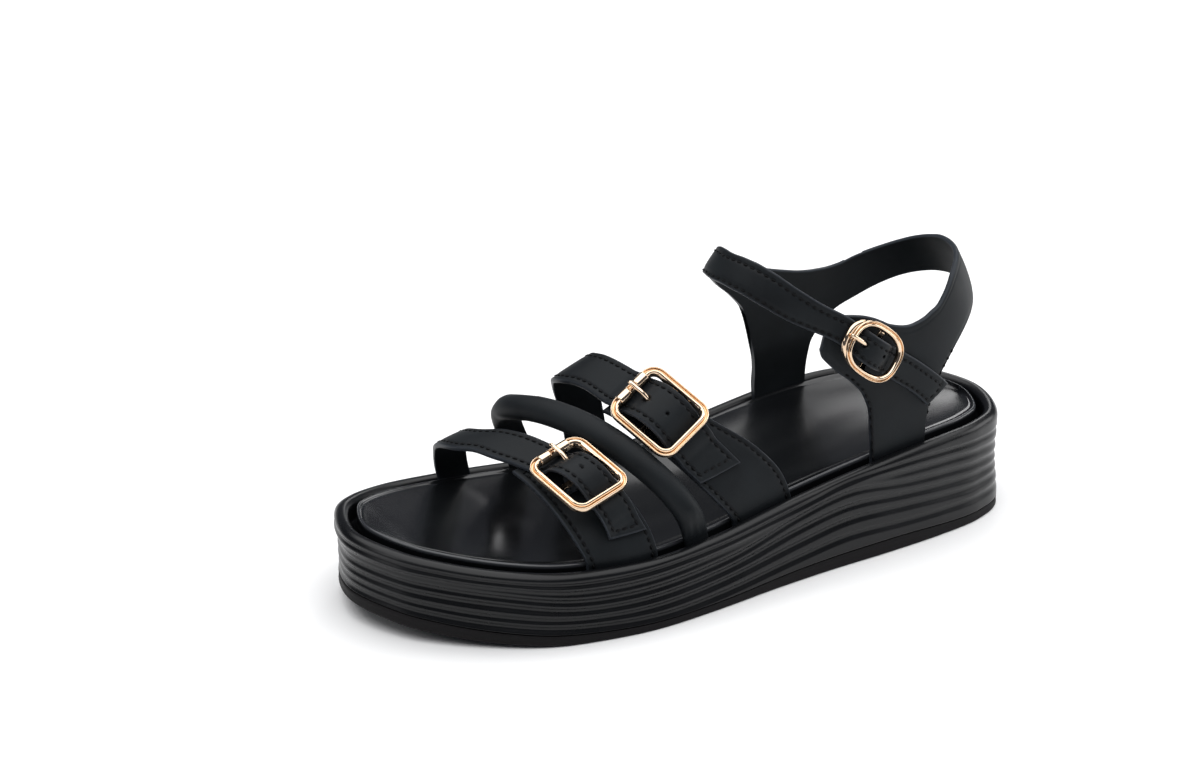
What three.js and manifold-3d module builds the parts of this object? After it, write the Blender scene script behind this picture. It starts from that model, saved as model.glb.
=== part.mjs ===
// A left flatform sandal: two buckled strap bands and a padded round strap over the forefoot, and an
// ankle piece of two quarters, a sling round the heel and a buckled ankle strap.
// Millimetres. +X runs from heel to toe, +Y to the wearer's left (the outer side), +Z up.
// Inside the builders below, x = 0 is the back of the heel; the group at the end centres the shoe.
//
// Every strap is a patch of one of two last surfaces, lifted off it along the surface's normal:
//   vampLast(x, t)      a cross arch over the forefoot, t from -1 (outer side) over 0 (crown) to 1 (inner side)
//   ankleLast(angle, z) an oval round the ankle, 0 degrees at the front, 90 outer side, 180 heel
// Both run straight down into the groove between the insole and the rim of the platform.

import * as THREE from 'three';
import { mergeVertices } from 'three/addons/utils/BufferGeometryUtils.js';
import Module from 'manifold-3d';

const wasm = await Module();
wasm.setup();

// ---------- driving dimensions ----------
const LENGTH = 262;
const MIDDLE = { x: 130.5, y: 1.2 };   // middle of the finished shoe's plan
const GAP = 0.3;                    // play between pieces that meet
const OVER = 0.4;                   // and between a strap and the base below it
const LEATHER = 2.0;                // folded and bonded strap leather
const TOE_SPRING = 7;               // height of the sole's underside at the tip
const SPRING_START = 188;           // the underside is flat behind this
const HEEL_FLARE = 1.2;             // how far the foot of the wall stands out at the heel
const TOE_TUCK_IN = 1.0;            // and how far it tucks in at the toe
const RIM_WIDTH = 5.4;
const WELL_DEPTH = 8;               // from the crest of the rim to the floor of the well
const STRAP_INSET = RIM_WIDTH + GAP + LEATHER;   // inner face of a strap that goes down the groove
const INSOLE_INSET = STRAP_INSET + GAP + 0.1;
const INSOLE_PROUD = 0.5;           // edge of the insole above the crest of the rim
const TUCK = 7;                     // how far a strap goes below the crest
const STRAIGHT = 1;                 // straps leave the vertical this far above the crest
const SAMPLES_PER_STATION = 3;

// ---------- tables ----------
// the platform's widest line: outer and inner side at each distance from the heel
const SOLE = [
  { x: 0, outer: 4, inner: 4 },
  { x: 8, outer: 27, inner: -19.5 },
  { x: 21, outer: 35, inner: -31 },
  { x: 39, outer: 39, inner: -38 },
  { x: 65, outer: 42, inner: -40 },
  { x: 92, outer: 44, inner: -38.5 },
  { x: 118, outer: 47, inner: -36 },
  { x: 144, outer: 51, inner: -39 },
  { x: 170, outer: 53.5, inner: -46 },
  { x: 189, outer: 52, inner: -50 },
  { x: 210, outer: 47.5, inner: -51 },
  { x: 228, outer: 38, inner: -49 },
  { x: 244, outer: 25.5, inner: -42.5 },
  { x: 254, outer: 14, inner: -33.5 },
  { x: 262, outer: -9, inner: -9 },
];

// thickness of the outsole at its edge
const OUTSOLE = [
  { x: 0, thick: 3.6 },
  { x: 30, thick: 3.8 },
  { x: 58, thick: 5.2 },
  { x: 84, thick: 5.1 },
  { x: 107, thick: 4.5 },
  { x: 130, thick: 3.4 },
  { x: 165, thick: 2.8 },
  { x: 195, thick: 3.4 },
  { x: 227, thick: 4.3 },
  { x: 262, thick: 4.5 },
];

// height of the crest of the platform's rim
const CREST = [
  { x: 0, z: 39.5 },
  { x: 52, z: 38.5 },
  { x: 105, z: 33 },
  { x: 144, z: 28.5 },
  { x: 183, z: 27 },
  { x: 223, z: 29 },
  { x: 262, z: 34 },
];

// top of the foot under the forefoot straps
const CROWN = [
  { x: 90, y: -5, z: 102 },
  { x: 120, y: -7, z: 91 },
  { x: 140, y: -8, z: 82.5 },
  { x: 155, y: -9, z: 76 },
  { x: 170, y: -9, z: 68.5 },
  { x: 185, y: -8.5, z: 61 },
  { x: 200, y: -8, z: 55 },
  { x: 215, y: -7, z: 50.5 },
  { x: 230, y: -6, z: 47 },
];
// how far the two handles of the arch's curve reach: along the crown, and up the side
const ARCH = { outer: { shoulder: 0.5, side: 0.3 }, inner: { shoulder: 0.56, side: 0.42 } };

// the oval round the ankle: how far it reaches from its middle at each height
const ANKLE_MIDDLE = { x: 50, y: 1.5 };
const ANKLE_BLEND = 22;             // height over which the quarters swing from the groove to the oval
const ANKLE = [
  { z: 30, front: 92, back: 36, outer: 31, inner: 31 },
  { z: 45, front: 92, back: 38.5, outer: 31.5, inner: 31 },
  { z: 60, front: 90, back: 39.5, outer: 32, inner: 31 },
  { z: 72, front: 86, back: 39.5, outer: 32, inner: 31 },
  { z: 82, front: 81, back: 38.5, outer: 32, inner: 31 },
  { z: 92, front: 75, back: 35, outer: 31.5, inner: 30.5 },
  { z: 100, front: 70, back: 31, outer: 31, inner: 30 },
  { z: 108, front: 64, back: 27, outer: 30, inner: 29 },
  { z: 118, front: 56, back: 23, outer: 29, inner: 28 },
];

// the bands: heelward and toeward edge (x) at each place on the arch
const TOE_BASE = [
  { t: -1.2, back: 167.5, front: 194.5 },
  { t: -1.0, back: 168.2, front: 195.1 },
  { t: -0.79, back: 170.5, front: 197.4 },
  { t: -0.61, back: 174.4, front: 199.4 },
  { t: -0.46, back: 180, front: 201.4 },
  { t: -0.24, back: 188, front: 205 },
];
const TOE_BAND = [
  { t: -0.83, back: 172, front: 186 },
  { t: -0.6, back: 176.3, front: 190.4 },
  { t: -0.4, back: 182.6, front: 197 },
  { t: -0.23, back: 189, front: 203.6 },
  { t: -0.12, back: 192.7, front: 208 },
  { t: 0, back: 197, front: 211 },
  { t: 0.12, back: 201, front: 214.4 },
  { t: 0.35, back: 202, front: 215 },
  { t: 0.65, back: 198, front: 211 },
  { t: 1.2, back: 192, front: 205 },
];
const INSTEP_BASE = [
  { t: -1.2, back: 107.5, front: 134 },
  { t: -1.0, back: 108.3, front: 135.1 },
  { t: -0.84, back: 112.7, front: 141.5 },
  { t: -0.72, back: 119.4, front: 147.3 },
  { t: -0.51, back: 134.7, front: 157 },
  { t: -0.22, back: 149, front: 168 },
];
const INSTEP_BAND = [
  { t: -0.73, back: 129.4, front: 147.4 },
  { t: -0.55, back: 138.2, front: 155.6 },
  { t: -0.39, back: 144.9, front: 161.5 },
  { t: -0.24, back: 149.8, front: 165.6 },
  { t: -0.07, back: 154, front: 168.5 },
  { t: 0.07, back: 155.8, front: 170.9 },
  { t: 0.18, back: 155.3, front: 171 },
  { t: 0.4, back: 152, front: 167.5 },
  { t: 0.7, back: 146, front: 161.5 },
  { t: 1.2, back: 139, front: 155 },
];
const TUBE = [
  { t: -1.2, x: 150 },
  { t: -1.0, x: 151.5 },
  { t: -0.74, x: 158 },
  { t: -0.5, x: 167 },
  { t: -0.25, x: 176.5 },
  { t: -0.09, x: 182 },
  { t: 0.05, x: 186 },
  { t: 0.16, x: 187.5 },
  { t: 0.35, x: 186.5 },
  { t: 0.6, x: 182 },
  { t: 0.8, x: 177.5 },
  { t: 1.2, x: 171.5 },
];

// the ankle piece is one long sheet. Its ribs run from the lower to the upper edge: from the front lobe
// of the outer quarter, round the heel, over the inner quarter, across the front, to the strap's tip.
// lift is the rib's height off the last; GROOVE marks a lower end that stands in the groove.
const GROOVE = null;
const ANKLE_RIBS = [
  { lowAngle: 60.2, lowZ: 81.5, highAngle: 60.3, highZ: 86, lift: 0 },
  { lowAngle: 61.2, lowZ: 79, highAngle: 61.4, highZ: 90.5, lift: 0 },
  { lowAngle: 66, lowZ: 73.1, highAngle: 65.5, highZ: 93.3, lift: 0 },
  { lowAngle: 71.4, lowZ: 67.1, highAngle: 70.5, highZ: 92.5, lift: 0 },
  { lowAngle: 75.2, lowZ: 60.7, highAngle: 75, highZ: 90.8, lift: 0 },
  { lowAngle: 77, lowZ: 51.4, highAngle: 78, highZ: 89, lift: 0 },
  { lowAngle: 77, lowZ: GROOVE, highAngle: 81, highZ: 87, lift: 0 },
  { lowAngle: 86, lowZ: GROOVE, highAngle: 86.5, highZ: 85.4, lift: 0 },
  { lowAngle: 95, lowZ: GROOVE, highAngle: 93, highZ: 87, lift: 0 },
  { lowAngle: 96, lowZ: 44, highAngle: 98, highZ: 88.6, lift: 0 },
  { lowAngle: 98.2, lowZ: 53.8, highAngle: 103, highZ: 90, lift: 0 },
  { lowAngle: 103, lowZ: 61.5, highAngle: 109, highZ: 93, lift: 0 },
  { lowAngle: 109.7, lowZ: 67.4, highAngle: 115, highZ: 96, lift: 0 },
  { lowAngle: 118, lowZ: 72.8, highAngle: 122, highZ: 99, lift: 0 },
  { lowAngle: 130, lowZ: 77.9, highAngle: 133, highZ: 101.5, lift: 0 },
  { lowAngle: 146, lowZ: 81.8, highAngle: 148, highZ: 102.5, lift: 0 },
  { lowAngle: 163, lowZ: 84.2, highAngle: 164, highZ: 102.3, lift: 0 },
  { lowAngle: 179, lowZ: 84.9, highAngle: 180, highZ: 101.5, lift: 0 },
  { lowAngle: 194, lowZ: 84, highAngle: 194, highZ: 99.4, lift: 0 },
  { lowAngle: 209, lowZ: 82, highAngle: 208, highZ: 96.8, lift: 0 },
  { lowAngle: 222, lowZ: 79.5, highAngle: 221, highZ: 94, lift: 0 },
  { lowAngle: 236, lowZ: 75.6, highAngle: 236, highZ: 90.6, lift: 0 },
  { lowAngle: 249.5, lowZ: 71, highAngle: 249.5, highZ: 87.6, lift: 0 },
  { lowAngle: 262.5, lowZ: 66.5, highAngle: 260, highZ: 85, lift: 0 },
  { lowAngle: 270.5, lowZ: 61, highAngle: 268, highZ: 84.3, lift: 0 },
  { lowAngle: 273, lowZ: 54, highAngle: 273, highZ: 84.5, lift: 0 },
  { lowAngle: 273.3, lowZ: 45, highAngle: 277, highZ: 85.2, lift: 0 },
  { lowAngle: 273.3, lowZ: GROOVE, highAngle: 281, highZ: 86.5, lift: 0 },
  { lowAngle: 280, lowZ: GROOVE, highAngle: 285, highZ: 88, lift: 0 },
  { lowAngle: 286.6, lowZ: GROOVE, highAngle: 289.5, highZ: 89.8, lift: 0 },
  { lowAngle: 288.4, lowZ: 46, highAngle: 294, highZ: 91.8, lift: 0 },
  { lowAngle: 290, lowZ: 56, highAngle: 299, highZ: 94.2, lift: 0 },
  { lowAngle: 291, lowZ: 64, highAngle: 305, highZ: 97.2, lift: 0 },
  { lowAngle: 293, lowZ: 71, highAngle: 311, highZ: 100.2, lift: 0 },
  { lowAngle: 296.5, lowZ: 76.8, highAngle: 317, highZ: 103, lift: 0 },
  { lowAngle: 303, lowZ: 83.6, highAngle: 324, highZ: 106, lift: 0 },
  { lowAngle: 312, lowZ: 90, highAngle: 332, highZ: 109, lift: 0 },
  { lowAngle: 322, lowZ: 96, highAngle: 340, highZ: 111, lift: 0 },
  { lowAngle: 335, lowZ: 100.8, highAngle: 348, highZ: 112.4, lift: 0 },
  { lowAngle: 350, lowZ: 103.2, highAngle: 358, highZ: 113, lift: 0 },
  { lowAngle: 365, lowZ: 103.7, highAngle: 370, highZ: 113, lift: 0.3 },
  { lowAngle: 380, lowZ: 102.3, highAngle: 381, highZ: 112.2, lift: 1.2 },
  { lowAngle: 394, lowZ: 98.7, highAngle: 393, highZ: 109.6, lift: 2.1 },
  { lowAngle: 407, lowZ: 93.2, highAngle: 406.4, highZ: 104.1, lift: 2.4 },
  { lowAngle: 416, lowZ: 89, highAngle: 417, highZ: 98.6, lift: 2.4 },
  { lowAngle: 423.6, lowZ: 84.7, highAngle: 426.2, highZ: 93.2, lift: 2.4 },
  { lowAngle: 430.3, lowZ: 78.1, highAngle: 434, highZ: 86.2, lift: 2.4 },
  { lowAngle: 436.4, lowZ: 72.2, highAngle: 441, highZ: 79.7, lift: 2.4 },
  { lowAngle: 441.8, lowZ: 66.2, highAngle: 447.2, highZ: 73.6, lift: 2.4 },
  { lowAngle: 447.2, lowZ: 60, highAngle: 455.4, highZ: 67, lift: 2.4 },
  { lowAngle: 453.6, lowZ: 53.2, highAngle: 467, highZ: 59.5, lift: 2.4 },
];

// the buckles. length is measured along the strap, width across it; lift is the height of the frame's
// plane off the last at its middle.
// roll, pitch and yaw (degrees) turn it about the strap's line, its width and the foot's normal.
const TOE_BUCKLE = {
  x: 188, t: -0.468, lift: 8.7, length: 29.8, width: 25.4, corner: 5.6, wire: 1.7, roll: -12, pitch: -7, yaw: -10,
};
const INSTEP_BUCKLE = {
  x: 153.2, t: -0.401, lift: 8.4, length: 29.6, width: 26.4, corner: 5.8, wire: 1.7, roll: 1, pitch: -1, yaw: 0,
};
const ANKLE_BUCKLE = {
  angle: 73.2, z: 81.5, lift: 7.8, length: 27, width: 20.2, wire: 1.3, squareness: 2.7, roll: -9, pitch: 3, yaw: -6,
};
const ANKLE_BAR = 1.2;                          // its centre bar sits this far towards the strap's tip
const BAR = { radius: 1.2, drop: 2.0 };        // centre bar, below the frame's plane
const SLEEVE = { radius: 2.1 };                // roller on the inner end bar of a square buckle
const PRONG = { radius: 0.95, ring: 2.6, wall: 0.7 };   // ring is the width of the loop round the bar
const KEEPER = { from: 2.0, to: 5.0, wall: 0.7 };       // leather loops that hold the bar, either side of the prong

// the strap's hump over a buckle's centre bar: height of its top above the frame's plane, along the buckle
const TOE_HUMP = [
  { s: -19, n: -8 },
  { s: -16, n: -5.8 },
  { s: -13.2, n: -4.3 },
  { s: -10.6, n: -2.4 },
  { s: -7.6, n: 1.6 },
  { s: -4.4, n: 4.1 },
  { s: -1, n: 5 },
  { s: 2.4, n: 4.7 },
  { s: 5.6, n: 3.3 },
  { s: 8.6, n: 0.7 },
  { s: 11.2, n: -2 },
  { s: 13.4, n: -3.2 },
  { s: 16, n: -4.8 },
  { s: 19, n: -8 },
];
const INSTEP_HUMP = [
  { s: -19, n: -8 },
  { s: -16, n: -5 },
  { s: -13.2, n: -3.3 },
  { s: -10.6, n: -1.6 },
  { s: -7.6, n: 1 },
  { s: -4.4, n: 3 },
  { s: -1, n: 3.7 },
  { s: 2.4, n: 3.5 },
  { s: 5.6, n: 2.5 },
  { s: 8.6, n: 0.4 },
  { s: 11.2, n: -1.9 },
  { s: 13.4, n: -2.9 },
  { s: 16, n: -4.7 },
  { s: 19, n: -8 },
];
const ANKLE_HUMP = [
  { s: -18, n: -9 },
  { s: -14.6, n: -5.2 },
  { s: -11.8, n: -3.3 },
  { s: -9.4, n: -3 },
  { s: -6.8, n: -0.6 },
  { s: -4.2, n: 1.8 },
  { s: -1.2, n: 2.7 },
  { s: 1.8, n: 2.7 },
  { s: 4.8, n: 1.9 },
  { s: 7.4, n: 0 },
  { s: 9.8, n: -2 },
  { s: 12, n: -3 },
  { s: 14.6, n: -5 },
  { s: 18, n: -9 },
];

// ---------- small helpers ----------
// cubic through the rows of a table; the slope at a row is the weighted mean of its neighbours' slopes,
// or with steady, a mean that never lets the curve swing past a row
function smooth(table, key, value, column, steady = false) {
  const at = (i) => table[i][key];
  const last = table.length - 1;
  const v = THREE.MathUtils.clamp(value, at(0), at(last));
  let i = 0;
  while (i < last - 1 && v > at(i + 1)) i++;
  const slope = (k) => (table[k + 1][column] - table[k][column]) / (at(k + 1) - at(k));
  const tangent = (k) => {
    if (k === 0) return slope(0);
    if (k === last) return slope(last - 1);
    const before = at(k) - at(k - 1);
    const after = at(k + 1) - at(k);
    if (steady) {
      const product = slope(k - 1) * slope(k);
      return product <= 0 ? 0 : 2 * product / (slope(k - 1) + slope(k));
    }
    return (slope(k - 1) * after + slope(k) * before) / (before + after);
  };
  const h = at(i + 1) - at(i);
  const u = (v - at(i)) / h;
  return table[i][column] * (1 + 2 * u) * (1 - u) ** 2 + h * tangent(i) * u * (1 - u) ** 2
    + table[i + 1][column] * u * u * (3 - 2 * u) + h * tangent(i + 1) * u * u * (u - 1);
}

const bezier = (a, b, c, d, t) =>
  (1 - t) ** 3 * a + 3 * (1 - t) ** 2 * t * b + 3 * (1 - t) * t * t * c + t ** 3 * d;
const lerp = THREE.MathUtils.lerp;
const ease = (k) => k * k * (3 - 2 * k);
const clamp01 = (k) => THREE.MathUtils.clamp(k, 0, 1);

// collects vertices and faces, and hands them back as one closed geometry with its faces outwards
class Surface {
  constructor() {
    this.points = [];
    this.faces = [];
  }

  add(point) {
    this.points.push(point);
    return this.points.length - 1;
  }

  triangle(a, b, c) {
    this.faces.push(a, b, c);
  }

  quad(a, b, c, d) {
    this.triangle(a, b, c);
    this.triangle(a, c, d);
  }

  // joins two rows of vertices of equal length
  strip(first, second, closed) {
    const count = closed ? first.length : first.length - 1;
    for (let i = 0; i < count; i++) {
      const j = (i + 1) % first.length;
      this.quad(first[i], first[j], second[j], second[i]);
    }
  }

  geometry() {
    let volume = 0;
    for (let i = 0; i < this.faces.length; i += 3) {
      const [a, b, c] = [0, 1, 2].map((k) => this.points[this.faces[i + k]]);
      volume += a.dot(new THREE.Vector3().crossVectors(b, c));
    }
    const index = [];
    for (let i = 0; i < this.faces.length; i += 3) {
      const [a, b, c] = this.faces.slice(i, i + 3);
      index.push(...(volume > 0 ? [a, b, c] : [a, c, b]));
    }
    const shape = new THREE.BufferGeometry();
    const flat = this.points.flatMap((p) => [p.x, p.y, p.z]);
    shape.setAttribute('position', new THREE.Float32BufferAttribute(flat, 3));
    shape.setIndex(index);
    return mergeVertices(shape, 1e-4);
  }
}

function welded(shape) {
  shape.deleteAttribute('normal');
  shape.deleteAttribute('uv');
  return mergeVertices(shape, 1e-4);
}

function toSolid(shape) {
  return new wasm.Manifold(new wasm.Mesh({
    numProp: 3,
    vertProperties: new Float32Array(shape.getAttribute('position').array),
    triVerts: new Uint32Array(shape.index.array),
  }));
}

function fromSolid(solid) {
  const mesh = solid.getMesh();
  const shape = new THREE.BufferGeometry();
  shape.setAttribute('position', new THREE.BufferAttribute(new Float32Array(mesh.vertProperties), 3));
  shape.setIndex(new THREE.BufferAttribute(new Uint32Array(mesh.triVerts), 1));
  return shape;
}

const join = (...shapes) => fromSolid(shapes.map(toSolid).reduce((a, b) => a.add(b)));
const cut = (shape, ...tools) => fromSolid(tools.map(toSolid).reduce((a, b) => a.subtract(b), toSolid(shape)));

// ---------- the sole's outline ----------
const outlineCurve = new THREE.CatmullRomCurve3(
  [
    new THREE.Vector3(SOLE[0].x, SOLE[0].outer, 0),
    ...SOLE.slice(1, -1).map((s) => new THREE.Vector3(s.x, s.outer, 0)),
    new THREE.Vector3(LENGTH, SOLE.at(-1).outer, 0),
    ...SOLE.slice(1, -1).reverse().map((s) => new THREE.Vector3(s.x, s.inner, 0)),
  ],
  true,
  'centripetal',
);
const RING = (SOLE.length - 1) * 2 * SAMPLES_PER_STATION;

// a ring of points round the sole, moved in from the widest line; heel first, then outer side, toe, inner side
function insetRing(inset) {
  const points = Array.from({ length: RING }, (_, i) => outlineCurve.getPoint(i / RING));
  return points.map((p, i) => {
    const before = points[(i + RING - 1) % RING];
    const after = points[(i + 1) % RING];
    const along = new THREE.Vector3().subVectors(after, before).normalize();
    const by = typeof inset === 'function' ? inset(p.x) : inset;
    return new THREE.Vector3(p.x + along.y * by, p.y - along.x * by, 0);
  });
}

const crest = (x) => smooth(CREST, 'x', x, 'z');
const outsoleThick = (x) => smooth(OUTSOLE, 'x', x, 'thick');
const underside = (x) => TOE_SPRING * Math.max(0, (x - SPRING_START) / (LENGTH - SPRING_START)) ** 2;
const flare = (x) => lerp(HEEL_FLARE, -TOE_TUCK_IN, clamp01(x / LENGTH));

// y of the groove's inner side at a distance from the heel
const grooveRing = insetRing(STRAP_INSET);
function grooveY(x, outer) {
  const half = grooveRing.length / 2;
  const side = outer ? grooveRing.slice(0, half + 1) : grooveRing.slice(half).reverse();
  for (let i = 1; i < side.length; i++) {
    const a = side[i - 1];
    const b = side[i];
    if (x >= a.x && x <= b.x) return lerp(a.y, b.y, (x - a.x) / (b.x - a.x));
  }
  return side[0].y;
}

// a body between a stack of rings, closed by ladders of rungs at the bottom and the top
function stackedBody(levels, topZ = null) {
  const body = new Surface();
  const rings = levels.map(({ inset, z }) => insetRing(inset).map((p) => body.add(p.setZ(z(p.x)))));
  for (let k = 1; k < rings.length; k++) body.strip(rings[k - 1], rings[k], true);
  cap(body, rings[0], 1, null, false);
  cap(body, rings.at(-1), topZ ? 8 : 1, topZ, true);
  return body.geometry();
}

function cap(body, ring, columns, z, up) {
  const half = ring.length / 2;
  const rungs = [];
  for (let i = 1; i < half; i++) {
    const a = body.points[ring[i]];
    const b = body.points[ring[ring.length - i]];
    const rung = [ring[i]];
    for (let c = 1; c < columns; c++) {
      const point = a.clone().lerp(b, c / columns);
      if (z) point.z = z(point.x, c / columns, point.z);
      rung.push(body.add(point));
    }
    rung.push(ring[ring.length - i]);
    rungs.push(rung);
  }
  const face = (a, b, c) => (up ? body.triangle(a, b, c) : body.triangle(a, c, b));
  const ends = [[ring[0], rungs[0], true], [ring[half], rungs.at(-1), false]];
  for (const [tip, rung, first] of ends) {
    for (let c = 0; c < columns; c++) {
      if (first) face(tip, rung[c], rung[c + 1]);
      else face(tip, rung[c + 1], rung[c]);
    }
  }
  for (let r = 1; r < rungs.length; r++) {
    for (let c = 0; c < columns; c++) {
      face(rungs[r - 1][c], rungs[r][c], rungs[r][c + 1]);
      face(rungs[r - 1][c], rungs[r][c + 1], rungs[r - 1][c + 1]);
    }
  }
}

function outsole() {
  const edge = 0.8;
  return stackedBody([
    { inset: (x) => edge - flare(x), z: underside },
    { inset: (x) => -flare(x), z: (x) => underside(x) + edge },
    { inset: (x) => -flare(x), z: (x) => underside(x) + outsoleThick(x) },
  ]);
}

function midsole() {
  const foot = (x) => underside(x) + outsoleThick(x) + GAP;
  const waist = (x) => lerp(foot(x), crest(x), 0.5);
  return stackedBody([
    { inset: (x) => -flare(x), z: foot },
    { inset: (x) => 0.5 - flare(x) * 0.4, z: waist },
    { inset: 0, z: (x) => crest(x) - 6.5 },
    { inset: -0.2, z: (x) => crest(x) - 4 },
    { inset: 0.8, z: (x) => crest(x) - 1.5 },
    { inset: 2.6, z: crest },
    { inset: 4.3, z: (x) => crest(x) - 0.7 },
    { inset: RIM_WIDTH, z: (x) => crest(x) - 2.6 },
    { inset: RIM_WIDTH, z: (x) => crest(x) - WELL_DEPTH },
  ]);
}

// the insole's dish: deepest at the heel and the ball, with a low arch pad on the inner side
const INSOLE_DISH = [
  { x: 0, depth: 1.5, arch: 0 },
  { x: 45, depth: 3.2, arch: 0 },
  { x: 110, depth: 1.6, arch: 2.2 },
  { x: 185, depth: 2.6, arch: 0 },
  { x: 222, depth: 0.8, arch: 0 },
  { x: 262, depth: 0.5, arch: 0 },
];
function insoleTop(x, across, edgeZ) {
  const bowl = 1 - Math.abs(2 * across - 1) ** 2.4;
  const pad = Math.exp(-(((across - 0.85) / 0.16) ** 2));
  return edgeZ - smooth(INSOLE_DISH, 'x', x, 'depth') * bowl + smooth(INSOLE_DISH, 'x', x, 'arch') * pad;
}

function insole() {
  return stackedBody([
    { inset: INSOLE_INSET, z: (x) => crest(x) - WELL_DEPTH + GAP },
    { inset: INSOLE_INSET, z: (x) => crest(x) + INSOLE_PROUD - 1 },
    { inset: INSOLE_INSET + 0.9, z: (x) => crest(x) + INSOLE_PROUD },
  ], insoleTop);
}

// ---------- the two last surfaces ----------
function vampLast(x, t) {
  const side = t < 0 ? ARCH.outer : ARCH.inner;
  const crownY = smooth(CROWN, 'x', x, 'y');
  const crownZ = smooth(CROWN, 'x', x, 'z');
  const footY = grooveY(x, t < 0);
  const footZ = crest(x) + STRAIGHT;
  const a = Math.min(Math.abs(t), 1);
  const below = Math.max(Math.abs(t) - 1, 0) / 0.2 * (TUCK + STRAIGHT);
  const shoulderY = crownY + side.shoulder * (footY - crownY);
  const sideZ = footZ + side.side * (crownZ - footZ);
  return new THREE.Vector3(
    x,
    bezier(crownY, shoulderY, footY, footY, a),
    bezier(crownZ, crownZ, sideZ, footZ, a) - below,
  );
}

function ankleLast(angle, z) {
  const a = THREE.MathUtils.degToRad(angle);
  const c = Math.cos(a);
  const s = Math.sin(a);
  const x = ANKLE_MIDDLE.x + c * smooth(ANKLE, 'z', z, c > 0 ? 'front' : 'back');
  const ovalY = ANKLE_MIDDLE.y + s * smooth(ANKLE, 'z', z, s > 0 ? 'outer' : 'inner');
  const k = ease(clamp01((z - crest(x) - STRAIGHT) / ANKLE_BLEND));
  const y = Math.abs(s) > 0.45 ? lerp(grooveY(x, s > 0), ovalY, k) : ovalY;
  return new THREE.Vector3(x, y, z);
}

// a point lifted off a last surface along its normal
function lifted(last, a, b, stepA, stepB, turn, lift) {
  const along = last(a + stepA, b).sub(last(a - stepA, b));
  const across = last(a, b + stepB).sub(last(a, b - stepB));
  const normal = new THREE.Vector3().crossVectors(along, across).normalize().multiplyScalar(turn);
  return last(a, b).addScaledVector(normal, lift);
}
const onVamp = (x, t, lift) => lifted(vampLast, x, t, 0.5, 0.01, -1, lift);
const onAnkle = (angle, z, lift) => lifted(ankleLast, angle, z, 0.5, 0.3, 1, lift);

// ---------- buckles ----------
// the frame of axes of a buckle: s along the strap towards its tip, w across it, n off the foot
function seat(place, towardsTip, { lift, roll, pitch, yaw }) {
  const n = place(1).sub(place(0)).normalize();
  const s = towardsTip.clone().addScaledVector(n, -towardsTip.dot(n)).normalize();
  const w = new THREE.Vector3().crossVectors(n, s);
  const [x, y, z] = [roll, pitch, yaw].map(THREE.MathUtils.degToRad);
  const turn = new THREE.Matrix4().makeBasis(s, w, n)
    .multiply(new THREE.Matrix4().makeRotationFromEuler(new THREE.Euler(x, y, z)));
  turn.extractBasis(s, w, n);
  return { origin: place(lift), s, w, n };
}

const vampSeat = (buckle, band) => {
  const middle = (t) => (smooth(band, 't', t, 'back') + smooth(band, 't', t, 'front')) / 2;
  const step = 0.05;
  const toTip = onVamp(middle(buckle.t - step), buckle.t - step, 4)
    .sub(onVamp(middle(buckle.t + step), buckle.t + step, 4));
  return seat((lift) => onVamp(buckle.x, buckle.t, lift), toTip, buckle);
};
const toeSeat = vampSeat(TOE_BUCKLE, TOE_BAND);
const instepSeat = vampSeat(INSTEP_BUCKLE, INSTEP_BAND);
const ankleSeat = seat(
  (lift) => onAnkle(ANKLE_BUCKLE.angle, ANKLE_BUCKLE.z, lift),
  onAnkle(86, 70, 4).sub(onAnkle(64, 88, 4)),
  ANKLE_BUCKLE,
);

const inSeat = ({ origin, s, w, n }, along, across, up) => origin.clone()
  .addScaledVector(s, along).addScaledVector(w, across).addScaledVector(n, up);

// a round wire along points, closed on itself or with rounded ends
function wire(points, radius, sides, closed) {
  const body = new Surface();
  const count = points.length;
  const rings = points.map((p, i) => {
    const before = points[closed ? (i + count - 1) % count : Math.max(i - 1, 0)];
    const after = points[closed ? (i + 1) % count : Math.min(i + 1, count - 1)];
    const along = after.clone().sub(before).normalize();
    const helper = wire.up;
    const u = new THREE.Vector3().crossVectors(along, helper).normalize();
    const v = new THREE.Vector3().crossVectors(along, u);
    const r = typeof radius === 'function' ? radius(i / (count - 1)) : radius;
    return Array.from({ length: sides }, (_, k) => {
      const a = (k + 0.5) / sides * Math.PI * 2;
      return body.add(p.clone().addScaledVector(u, Math.cos(a) * r).addScaledVector(v, Math.sin(a) * r));
    });
  });
  for (let i = 1; i < count; i++) body.strip(rings[i - 1], rings[i], true);
  if (closed) {
    body.strip(rings[count - 1], rings[0], true);
  } else {
    for (const [ring, forward] of [[rings[0], true], [rings[count - 1], false]]) {
      for (let k = 1; k < sides - 1; k++) {
        if (forward) body.triangle(ring[0], ring[k + 1], ring[k]);
        else body.triangle(ring[0], ring[k], ring[k + 1]);
      }
    }
  }
  return body.geometry();
}

// middle line of a frame with round corners
function roundedFrame(length, width, corner) {
  const points = [];
  const arcSteps = 5;
  const corners = [[1, 1, 0], [-1, 1, 90], [-1, -1, 180], [1, -1, 270]];
  for (const [a, b, start] of corners) {
    for (let i = 0; i <= arcSteps; i++) {
      const angle = THREE.MathUtils.degToRad(start + 90 * i / arcSteps);
      points.push([
        a * (length / 2 - corner) + Math.cos(angle) * corner,
        b * (width / 2 - corner) + Math.sin(angle) * corner,
      ]);
    }
  }
  return points;
}

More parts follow.
